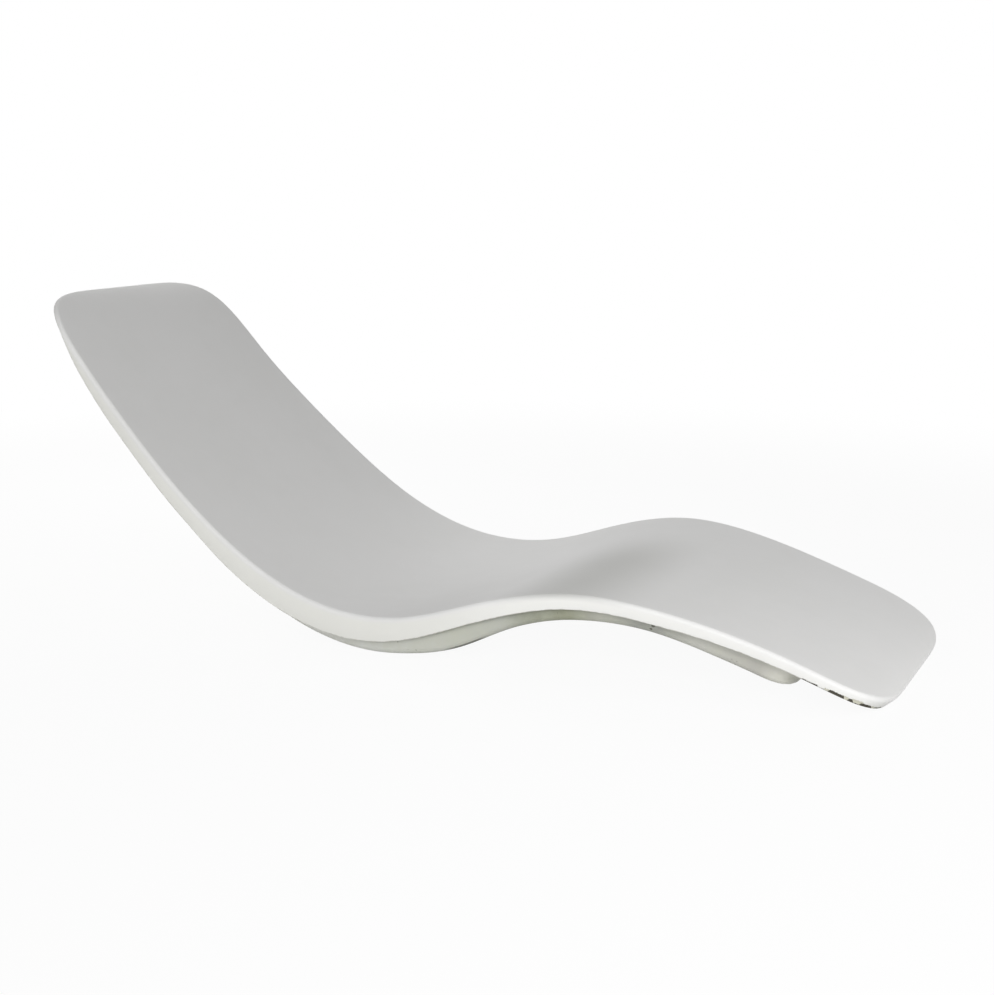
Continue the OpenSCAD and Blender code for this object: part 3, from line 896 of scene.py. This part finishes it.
@dataclass(frozen=True)
class StrandLaminate(Finish):
    """Hand-laid chopped-strand laminate under a thin sealing coat."""

    turns: Triple = (0.35, 1.40, 2.45)
    lean: float = 0.4
    tilt: float = 0.3
    speck: Colour = colour(0.200, 0.200, 0.160)

    def surface(self, coat: Coating) -> Surface:
        """Strands in three directions that show through the coat."""
        strands: object = 0.0
        for turn in self.turns:
            turned = coat.mapped(coat.place, Rotation=(self.lean * turn, self.tilt, turn))
            drawn = coat.mapped(turned, Scale=(1.0, 12.0, 3.0))
            strand = coat.ease(coat.noise(drawn, scale=34.0, detail=2.0, rough=0.55), low=0.50, high=0.66)
            strands = coat.math("MAXIMUM", strands, strand)
        shown = coat.blend(strands, self.mottled(coat, scale=9.0, amount=1.0), self.tint, most=0.35)
        specks = coat.effect(Effect.SPECKS, Scale=90.0, Size=0.30)
        shade = coat.blend(specks, shown, self.speck, most=0.4)
        return Surface(shade, coat.span(strands, *self.roughness), strands)


@dataclass(frozen=True)
class Grained(Finish):
    """A mottled material with one grain: smoothed paste, dusty rubber or turned steel.

    The mottle is a scale and an amount, the grain a scale, a detail and a roughness.
    """

    mottle: tuple[float, float] = (20.0, 0.9)
    grain: Triple = (30.0, 4.0, 0.6)
    stretch: Triple | None = None

    def surface(self, coat: Coating) -> Surface:
        """A tint that drifts, and a grain that shows in the roughness and the height."""
        grain = coat.grain(*self.grain, self.stretch)
        return Surface(self.mottled(coat, *self.mottle), coat.span(grain, *self.roughness), grain)


class Grain(Enum):
    """The axis that a plywood piece's layers are stacked along."""

    ACROSS = (0.0, 1.0, 0.0)
    ALONG = (1.0, 0.0, 0.0)
    UPRIGHT = (0.0, 0.0, 1.0)


@dataclass(frozen=True)
class Plywood(Finish):
    """Sealed birch plywood, with its layers showing on the edges."""

    base: Colour = colour(0.560, 0.390, 0.220)
    tint: Colour = colour(0.400, 0.250, 0.120)
    roughness: tuple[float, float] = (0.45, 0.70)
    bump: float = 0.0001
    stack: Grain = Grain.ACROSS
    layer: float = 0.0015

    def surface(self, coat: Coating) -> Surface:
        """Layers along the stack, and a fine long grain."""
        stacked = coat.measure("DOT_PRODUCT", self.stack.value)
        bands = coat.math("SINE", coat.times(stacked, math.pi / self.layer), 0.0)
        grain = coat.grain(scale=14.0, detail=5.0, rough=0.65, stretch=(3.0, 40.0, 40.0))
        streaked = coat.blend(coat.ease(grain, low=0.35, high=0.70), self.base, self.tint)
        layered = coat.blend(coat.ease(bands, low=0.0, high=0.6), streaked, self.tint, most=0.45)
        return Surface(layered, coat.span(grain, *self.roughness), grain)


@dataclass(frozen=True)
class CutFoam(Finish):
    """Rigid polyurethane foam with open cells on its cut faces."""

    cell_scale: float = 700.0

    def surface(self, coat: Coating) -> Surface:
        """Amber foam with small dark cells."""
        depth = coat.ease(coat.cells(coat.place, self.cell_scale), low=0.0, high=0.55)
        shade = coat.blend(depth, self.tint, self.mottled(coat, scale=7.0, amount=0.8), most=0.5)
        return Surface(shade, coat.span(depth, *self.roughness), depth)


@dataclass(frozen=True)
class Palette:
    """Every finish of the lounger."""

    gelcoat: Finish = Gelcoat(
        "white_gelcoat", colour(0.800, 0.797, 0.788), colour(0.778, 0.776, 0.764), (0.34, 0.46), gloss=0.1
    )
    inner_laminate: Finish = StrandLaminate(
        "sealed_inner_laminate", colour(0.560, 0.570, 0.470), colour(0.640, 0.640, 0.540), (0.38, 0.62),
        0.0003,
    )
    pan_coat: Finish = PanCoat(
        "grey_pan_coat", colour(0.600, 0.605, 0.530), colour(0.500, 0.510, 0.400), (0.42, 0.60), 0.0003
    )
    liner: Finish = StrandLaminate(
        "liner_laminate", colour(0.600, 0.600, 0.520), colour(0.500, 0.500, 0.400), (0.40, 0.66), 0.0005
    )
    paste: Finish = Grained(
        "bonding_paste", colour(0.400, 0.405, 0.370), colour(0.340, 0.345, 0.300), (0.45, 0.65), 0.0004,
        mottle=(20.0, 0.9), grain=(30.0, 4.0, 0.6), stretch=(1.0, 9.0, 9.0),
    )
    rubber: Finish = Grained(
        "pad_rubber", colour(0.018, 0.018, 0.018), colour(0.045, 0.043, 0.040), (0.60, 0.85), 0.0001,
        rounding=0.0008, mottle=(40.0, 0.7), grain=(900.0, 3.0, 0.6),
    )
    long_plywood: Finish = Plywood("keel_plywood", stack=Grain.ACROSS)
    cross_plywood: Finish = Plywood("rib_plywood", stack=Grain.ALONG)
    flat_plywood: Finish = Plywood("plate_plywood", stack=Grain.UPRIGHT)
    foam: Finish = CutFoam(
        "rigid_foam", colour(0.700, 0.560, 0.270), colour(0.520, 0.390, 0.150), (0.75, 0.95), 0.0004
    )
    steel: Finish = Grained(
        "screw_steel", colour(0.560, 0.565, 0.575), colour(0.420, 0.420, 0.420), (0.22, 0.38), 0.00005,
        metallic=1.0, mottle=(160.0, 0.6), grain=(900.0, 2.0, 0.5), stretch=(1.0, 1.0, 12.0),
    )


class Workshop:
    """Turns meshes into the lounger's pieces and dresses them."""

    def __init__(self, palette: Palette) -> None:
        """Starts with a palette and no materials built."""
        self.palette = palette
        self.shelf = EffectShelf()
        self.materials: dict[str, bpy.types.Material] = {}

    def material(self, finish: Finish) -> bpy.types.Material:
        """The material of a finish, built once."""
        if finish.name not in self.materials:
            self.materials[finish.name] = finish.material(self.shelf)
        return self.materials[finish.name]

    def piece(
        self,
        name: str,
        mesh: bmesh.types.BMesh,
        finishes: Sequence[Finish],
        node: str,
        crease: float = 35.0,
    ) -> None:
        """Makes a piece that stands for a CAD node.

        Args:
            name: The piece's name.
            mesh: Its mesh, in the frame, which is freed.
            finishes: Its finishes, in the order of the faces' material numbers.
            node: The CAD node that it stands for.
            crease: Angle in degrees past which an edge stays sharp.
        """
        data = bpy.data.meshes.new(name)
        for face in mesh.faces:
            face.smooth = True
        mesh.to_mesh(data)
        mesh.free()
        data.set_sharp_from_angle(angle=math.radians(crease))
        for finish in finishes:
            data.materials.append(self.material(finish))
        made = added(name, data)
        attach(made, ROOT_BODY)
        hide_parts(node)
        LOG.info("%s: %d faces, stands for %s", name, len(data.polygons), node)

    def dress_node(self, node: bpy.types.Object, finish: Finish, slot: str) -> None:
        """Gives a CAD node its finish."""
        node.data.materials.clear()
        node.data.materials.append(self.material(finish))
        LOG.info("%s: kept, finished as %s", node.name, finish.name)


@dataclass(frozen=True)
class SeatShell:
    """The white seat moulding: a thin shell with a rounded edge and a down-turned rim."""

    line: SeatLine
    head: Corner = Corner(0.220, 3.3)
    foot: Corner = Corner(0.190, 3.2)
    edge_radius: float = 0.008
    grid: Grid = Grid(0.088, (0.050, 0.026, 0.0085), columns=200, rows=32, blend_steps=4)
    round_steps: int = 8
    rim_stops: tuple[float, ...] = (0.3, 1.0)
    arris: float = 0.0004
    arris_steps: int = 2

    @property
    def outline(self) -> Outline:
        """The seat's outline."""
        return Outline(self.line, 0.0, self.line.length, 0.0, self.head, self.foot)

    def build(self, workshop: Workshop) -> None:
        """Builds and dresses the seat shell."""
        blank = Blank.sheet(self.outline, self.grid)
        shoulder = blank.rim
        for stop in self.rim_stops:
            blank.extrude(lambda u, v, old: self.on_rim(old, stop))
        blank.round_over(shoulder, self.edge_radius, self.round_steps)
        blank.thicken(SEAT_WALL, finish=1)
        self.soften_arris(blank)
        blank.store("along", lambda co: co.x)
        blank.store("down", lambda co: -co.z)
        blank.store("edge", self.over_edge)
        blank.form(lambda co: self.line.formed(co.x, co.y, co.z))
        finishes = [workshop.palette.gelcoat, workshop.palette.inner_laminate]
        workshop.piece("seat_shell_moulding", blank.mesh, finishes, "seat_shell")

    def on_rim(self, edge: Vector, share: float) -> Vector:
        """A point on the rim's straight part, at a share of the way down it."""
        straight = self.line.rim_depth(edge.x) - self.edge_radius
        return Vector((edge.x, edge.y, -self.edge_radius - share * straight))

    def over_edge(self, co: Vector) -> float:
        """Height of a point over the rim's lower edge."""
        return co.z + self.line.rim_depth(co.x)

    def soften_arris(self, blank: Blank) -> None:
        """Takes the sharp corner off the rim's lower outer edge."""
        low = {vert for vert in blank.mesh.verts if self.over_edge(vert.co) < TOUCHING}
        edges = [edge for edge in blank.mesh.edges if low.issuperset(edge.verts)]
        outer = [edge for edge in edges if sum(face.material_index == 0 for face in edge.link_faces) == 1]
        blank.round_over(outer, self.arris, self.arris_steps)


@dataclass(frozen=True)
class UnderPan:
    """The grey pan moulding under the seat: a shallow tray with a rounded bottom edge."""

    line: SeatLine
    start: float = 0.530
    end: float = 1.878
    drops: Curve = Curve(
        (-0.0045, 0.0055, 0.0145, 0.0225, 0.031, 0.041, 0.029, 0.0275, 0.025, 0.036, 0.0435)
    )
    inset: float = 0.020
    draft: float = 0.003
    edge_radius: float = 0.012
    head: Corner = Corner(0.160, 2.6)
    foot: Corner = Corner(0.065, 2.4)
    thickness: float = 0.005
    wall_top: float = 0.008
    grid: Grid = Grid(0.036, (0.024, 0.0135), columns=150, rows=28)
    round_steps: int = 8

    @property
    def outline(self) -> Outline:
        """The outline of the top of the pan's wall."""
        return self.drawn_in(0.0)

    def drawn_in(self, by: float) -> Outline:
        """The outline of the top of the pan's wall, made smaller all round."""
        return Outline(self.line, self.start + by, self.end - by, self.inset + by, self.head, self.foot)

    def depth(self, along: float) -> float:
        """Depth of the pan's bottom below the seat's surface."""
        return self.line.rim_depth(along) + self.drops.at((along - self.start) / (self.end - self.start))

    def build(self, workshop: Workshop) -> None:
        """Builds and dresses the pan, as a tray whose heights count from its bottom."""
        top = self.outline
        blank = Blank.sheet(self.drawn_in(self.draft), self.grid, flipped=True)
        shoulder = blank.rim
        blank.ring(0.0, self.grid.insets[-1])
        blank.extrude(lambda u, v, old: self.wall_end(top.place(u, v)))
        blank.round_over(shoulder, self.edge_radius, self.round_steps)
        blank.face_out()
        blank.store("along", lambda co: co.x)
        blank.store("edge", lambda co: co.z)
        blank.thicken(self.thickness, finish=1)
        blank.form(lambda co: self.line.formed(co.x, co.y, co.z - self.depth(co.x), False))
        finishes = [workshop.palette.pan_coat, workshop.palette.inner_laminate]
        workshop.piece("under_pan_moulding", blank.mesh, finishes, "under_pan")

    def wall_end(self, flat: Vector) -> Vector:
        """The top of the wall over a point of the ribbon, as a height over the pan's bottom."""
        return Vector((flat.x, flat.y, self.depth(flat.x) - self.wall_top - self.line.hollow(flat.x, flat.y)))


@dataclass(frozen=True)
class PanBond:
    """The bead of paste in the corner between the seat shell and the pan wall, drawn out hollow."""

    pan: UnderPan
    top_gap: float = 0.0015
    reach: float = 0.012
    drop: float = 0.011
    steps: int = 6
    counts: tuple[int, int] = (150, 32)

    def build(self, workshop: Workshop) -> None:
        """Builds and dresses the bead, ring by ring round its section."""
        top = -SEAT_WALL - self.top_gap
        low = -SEAT_WALL - self.drop
        section: list[tuple[float, float]] = []
        for i in range(self.steps + 1):
            turn = math.radians(RIGHT_ANGLE * i / self.steps)
            out = self.reach - (self.reach - GLUE_GAP) * math.cos(turn)
            section.append((out, low + (top - low) * math.sin(turn)))
        blank = Blank.hoop(self.pan.outline, self.counts, -GLUE_GAP, top)
        first = list(blank.rim)
        for out, height in section:
            blank.ring(-out, height)
        bmesh.ops.bridge_loops(blank.mesh, edges=first + blank.rim)
        blank.face_out()
        blank.form(lambda co: self.pan.line.formed(co.x, co.y, co.z))
        workshop.piece("pan_bond_bead", blank.mesh, [workshop.palette.paste], "pan_bond")


@dataclass(frozen=True)
class Liner:
    """A thin laminate sheet inside the rim, turned up along its edge so that it closes off its core."""

    node: str
    outline: Outline
    recess: float
    bend: float
    grid: Grid
    thickness: float = 0.003
    seat_gap: float = 0.0016
    round_steps: int = 5

    @property
    def line(self) -> SeatLine:
        """The seat line that it is formed along."""
        return self.outline.line

    def build(self, workshop: Workshop) -> None:
        """Builds and dresses the liner, with heights that count from its outer face."""
        blank = Blank.sheet(self.outline, self.grid)
        corner = blank.rim
        blank.extrude(self.turned_up)
        blank.round_over(corner, self.bend, self.round_steps)
        blank.face_out()
        self.face_down(blank)
        blank.thicken(self.thickness)
        blank.form(self.where)
        finishes = [workshop.palette.liner]
        workshop.piece(f"{self.node}_laminate", blank.mesh, finishes, self.node)

    def turned_up(self, u: float, v: float, old: Vector) -> Vector:
        """The place of the turned-up edge's top, just below the seat's laminate."""
        flat = self.outline.place(u, v)
        seat = -SEAT_WALL - self.seat_gap - self.line.hollow(flat.x, flat.y)
        return Vector((flat.x, flat.y, seat - self.recess + self.line.rim_depth(flat.x)))

    def face_down(self, blank: Blank) -> None:
        """Turns the sheet's faces to look down, where the liner is seen from."""
        if sum(face.normal.z * face.calc_area() for face in blank.mesh.faces) > 0:
            blank.turn_over()

    def where(self, co: Vector) -> Vector:
        """A blank point's place in the frame."""
        return self.line.formed(co.x, co.y, co.z + self.recess - self.line.rim_depth(co.x), False)


@dataclass(frozen=True)
class PadScrews:
    """The four countersunk screws that hold the floor pads, each with a hexagon socket."""

    node: str = "pad_screws"
    head_radius: float = 0.005
    shank_radius: float = 0.0025
    socket_radius: float = 0.0017
    socket_depth: float = 0.0016
    head_depth: float = 0.0026
    chamfer: float = 0.0003
    tip: float = 0.0015
    tip_share: float = 0.15
    facets: int = 36
    crease: float = 30.0

    def build(self, workshop: Workshop) -> None:
        """Builds and dresses the screws where the CAD node's screws stand."""
        low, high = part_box(self.node)
        mesh = bmesh.new()
        for x in (low.x + self.head_radius, high.x - self.head_radius):
            for y in (low.y + self.head_radius, high.y - self.head_radius):
                self.screw(mesh, Vector((x, y, low.z)), high.z - low.z)
        name = f"{self.node}_socket_head"
        workshop.piece(name, mesh, [workshop.palette.steel], self.node, self.crease)

    def screw(self, mesh: bmesh.types.BMesh, foot: Vector, length: float) -> None:
        """Makes one screw on the centre of its head's face, as rings from its socket up to its tip."""
        sections = [
            (self.socket_radius, 0.0, True),
            (self.head_radius - self.chamfer, 0.0, False),
            (self.head_radius, self.chamfer, False),
            (self.shank_radius, self.head_depth, False),
            (self.shank_radius, length - self.tip, False),
            (self.shank_radius * self.tip_share, length, False),
        ]
        made = bmesh.ops.create_circle(mesh, cap_ends=True, segments=self.facets, radius=1.0)
        ring = list(made["verts"])
        edges = [edge for edge in mesh.edges if edge.verts[0] in ring and edge.verts[1] in ring]
        angles = {vert: math.atan2(vert.co.y, vert.co.x) for vert in ring}
        self.shape(angles, foot, self.socket_radius, self.socket_depth, True)
        for radius, height, hexagon in sections:
            fresh, edges = extruded(mesh, edges)
            angles = {vert: math.atan2(vert.co.y - foot.y, vert.co.x - foot.x) for vert in fresh}
            self.shape(angles, foot, radius, height, hexagon)
        bmesh.ops.contextual_create(mesh, geom=edges)
        bmesh.ops.recalc_face_normals(mesh, faces=list(mesh.faces))

    def shape(
        self,
        angles: dict[bmesh.types.BMVert, float],
        foot: Vector,
        radius: float,
        height: float,
        hexagon: bool,
    ) -> None:
        """Moves a ring to a radius and a height, as a circle or as a hexagon."""
        sixth = math.pi / 3
        for vert, angle in angles.items():
            lean = (angle % sixth) - sixth / 2
            reach = radius * math.cos(sixth / 2) / math.cos(lean) if hexagon else radius
            vert.co = foot + Vector((reach * math.cos(angle), reach * math.sin(angle), height))


@dataclass(frozen=True)
class Lounger:
    """The whole lounger: its shells, liners and screws, and the CAD nodes that keep their shape."""

    line: SeatLine = SeatLine()
    pan_gap: float = 0.0183
    liner_edge: float = 0.0063
    back_start: float = 0.260
    back_corner: Corner = Corner(0.060, 2.4)
    foot_corner: Corner = Corner(0.030, 2.4)

    def build(self, workshop: Workshop, nodes: dict[str, bpy.types.Object]) -> None:
        """Builds every piece, and dresses the CAD nodes that stay."""
        pan = UnderPan(self.line)
        SeatShell(self.line).build(workshop)
        pan.build(workshop)
        PanBond(pan).build(workshop)
        self.back_liner(pan).build(workshop)
        self.foot_liner(pan).build(workshop)
        PadScrews().build(workshop)
        self.dress_nodes(workshop, nodes)

    def back_liner(self, pan: UnderPan) -> Liner:
        """The liner behind the back."""
        start = self.back_start + self.liner_edge
        end = pan.start - self.pan_gap
        outline = Outline(self.line, start, end, self.liner_edge, self.back_corner, self.back_corner)
        grid = Grid(0.022, (0.0075,), columns=40, rows=32)
        return Liner("back_liner", outline, recess=0.006, bend=0.004, grid=grid)

    def foot_liner(self, pan: UnderPan) -> Liner:
        """The liner under the foot end."""
        start = pan.end + self.pan_gap
        end = self.line.length - self.liner_edge
        outline = Outline(self.line, start, end, self.liner_edge, self.foot_corner, SeatShell.foot)
        grid = Grid(0.015, (0.0075,), columns=20, rows=40)
        return Liner("foot_liner", outline, recess=0.005, bend=0.0035, grid=grid)

    def dress_nodes(self, workshop: Workshop, nodes: dict[str, bpy.types.Object]) -> None:
        """Finishes the CAD nodes that stay, by a word in their names: plywood, rubber and foam."""
        palette = workshop.palette
        kinds: dict[str, tuple[Finish, str]] = {
            "keel": (palette.long_plywood, "plywood"),
            "pad_plate_": (palette.flat_plywood, "plywood"),
            "_rib": (palette.cross_plywood, "plywood"),
            "floor_pad_": (palette.rubber, "rubber"),
            "_core": (palette.foam, "foam"),
            "_foam_": (palette.foam, "foam"),
        }
        for name, node in nodes.items():
            for word, (finish, slot) in kinds.items():
                if word in name:
                    workshop.dress_node(node, finish, slot)


@dataclass(frozen=True)
class Viewpoint:
    """The photograph's camera, as fitted to the lounger's outline."""

    place: Triple = (1.4194, -2.8227, 0.9212)
    yaw: float = 25.573
    pitch: float = 11.701
    roll: float = 0.413
    focal_px: float = 1585.3
    centre_px: tuple[float, float] = (509.7, 488.9)
    frame_px: tuple[float, float] = (994.0, 995.0)
    sensor_mm: float = 36.0
    clip: tuple[float, float] = (0.05, 200.0)

    def build(self) -> None:
        """Makes the scene's camera."""
        data = bpy.data.cameras.new("photo_camera")
        made = added("photo_camera", data)
        yaw, pitch, roll = (math.radians(angle) for angle in (self.yaw, self.pitch, self.roll))
        ahead = Vector((-math.sin(yaw) * math.cos(pitch), math.cos(yaw) * math.cos(pitch), -math.sin(pitch)))
        level = Vector((math.cos(yaw), math.sin(yaw), 0.0))
        upright = level.cross(ahead)
        right = math.cos(roll) * level + math.sin(roll) * upright
        up = math.cos(roll) * upright - math.sin(roll) * level
        turn = Matrix((right, up, -ahead)).transposed().to_4x4()
        made.matrix_world = Matrix.Translation(self.place) @ turn
        width, height = self.frame_px
        long_side = max(width, height)
        data.sensor_fit = "AUTO"
        data.sensor_width = self.sensor_mm
        data.lens = self.focal_px * data.sensor_width / long_side
        data.shift_x = (width / 2 - self.centre_px[0]) / long_side
        data.shift_y = (self.centre_px[1] - height / 2) / long_side
        data.clip_start, data.clip_end = self.clip
        data.dof.use_dof = False
        bpy.context.scene.camera = made


@dataclass(frozen=True)
class Softbox:
    """A rectangular studio lamp: where it stands, what it points at, its size and its power."""

    name: str
    place: Triple
    target: Triple
    size: tuple[float, float]
    power: float
    mirrored: bool = True

    def build(self) -> None:
        """Makes the lamp."""
        data = bpy.data.lights.new(self.name, "AREA")
        data.shape = "RECTANGLE"
        data.size, data.size_y = self.size
        data.energy = self.power
        made = added(self.name, data)
        made.location = self.place
        aim = Vector(self.target) - Vector(self.place)
        made.rotation_euler = aim.to_track_quat("-Z", "Y").to_euler()
        made.visible_camera = False
        made.visible_glossy = self.mirrored


@dataclass(frozen=True)
class Studio:
    """Plain pale surroundings: a white floor, soft lamps and an even sky."""

    sky: float = 0.21
    white: Colour = colour(1.0, 1.0, 1.0)
    floor_shade: Colour = colour(0.80, 0.80, 0.80)
    floor_size: float = 60.0
    floor_lift: float = 0.94
    floor_fade: tuple[float, float] = (1.4, 3.2)
    lamps: tuple[Softbox, ...] = (
        Softbox("foot_side_box", (1.7, -2.0, 1.2), (0.6, -0.2, 0.1), (1.2, 0.9), 23.0),
        Softbox("front_box", (0.3, -6.0, 1.5), (0.0, 0.0, 0.2), (3.6, 2.0), 147.0),
        Softbox("foot_end_box", (2.2, -0.2, 0.9), (0.7, 0.0, 0.1), (1.0, 0.7), 9.0, False),
        Softbox("back_side_box", (-1.6, 0.9, 1.3), (0.0, 0.1, 0.1), (0.8, 0.8), 17.0, False),
    )

    def build(self) -> None:
        """Makes the floor, the sky and the lamps."""
        self.floor()
        self.world()
        for lamp in self.lamps:
            lamp.build()

    def floor(self) -> None:
        """Makes the floor, which looks white to the camera and keeps the lounger's shadow."""
        mesh = bmesh.new()
        bmesh.ops.create_grid(mesh, x_segments=2, y_segments=2, size=self.floor_size / 2)
        data = bpy.data.meshes.new("studio_floor")
        mesh.to_mesh(data)
        mesh.free()
        made = added("studio_floor", data)
        material = bpy.data.materials.new("white_floor")
        recipe = Recipe(emptied(material))
        matt = recipe.add("ShaderNodeBsdfDiffuse", {"Color": self.floor_shade})
        glow = recipe.add("ShaderNodeEmission", {"Color": self.white, "Strength": 1.0})
        far = recipe.ease(recipe.measure("LENGTH"), *self.floor_fade)
        share = recipe.times(self.seen(recipe), recipe.span(far, self.floor_lift, 1.0))
        shown = recipe.add("ShaderNodeMixShader", {0: share, 1: matt.outputs[0], 2: glow.outputs[0]})
        recipe.add("ShaderNodeOutputMaterial", {"Surface": shown.outputs[0]})
        data.materials.append(material)

    def seen(self, recipe: Recipe) -> Socket:
        """Is 1 on rays from the camera, in reflections and through glass."""
        path = recipe.add("ShaderNodeLightPath")
        mirrored = recipe.math("MAXIMUM", path.outputs["Is Glossy Ray"], path.outputs["Is Transmission Ray"])
        return recipe.math("MAXIMUM", path.outputs["Is Camera Ray"], mirrored)

    def world(self) -> None:
        """Makes the sky: white where it is seen, and a plain even light on the lounger."""
        world = bpy.data.worlds.new("white_studio")
        bpy.context.scene.world = world
        recipe = Recipe(emptied(world))
        strength = recipe.span(self.seen(recipe), self.sky, 1.0)
        sky = recipe.add("ShaderNodeBackground", {"Color": self.white, "Strength": strength})
        recipe.add("ShaderNodeOutputWorld", {"Surface": sky.outputs[0]})


def main() -> None:
    """Loads the frame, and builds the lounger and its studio."""
    logging.basicConfig(level=logging.INFO, format="%(name)s: %(message)s")
    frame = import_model()
    Viewpoint().build()
    workshop = Workshop(Palette())
    Lounger().build(workshop, frame["nodes"])
    Studio().build()
    bpy.context.scene.view_settings.view_transform = "Standard"


if __name__ == "__main__":
    main()
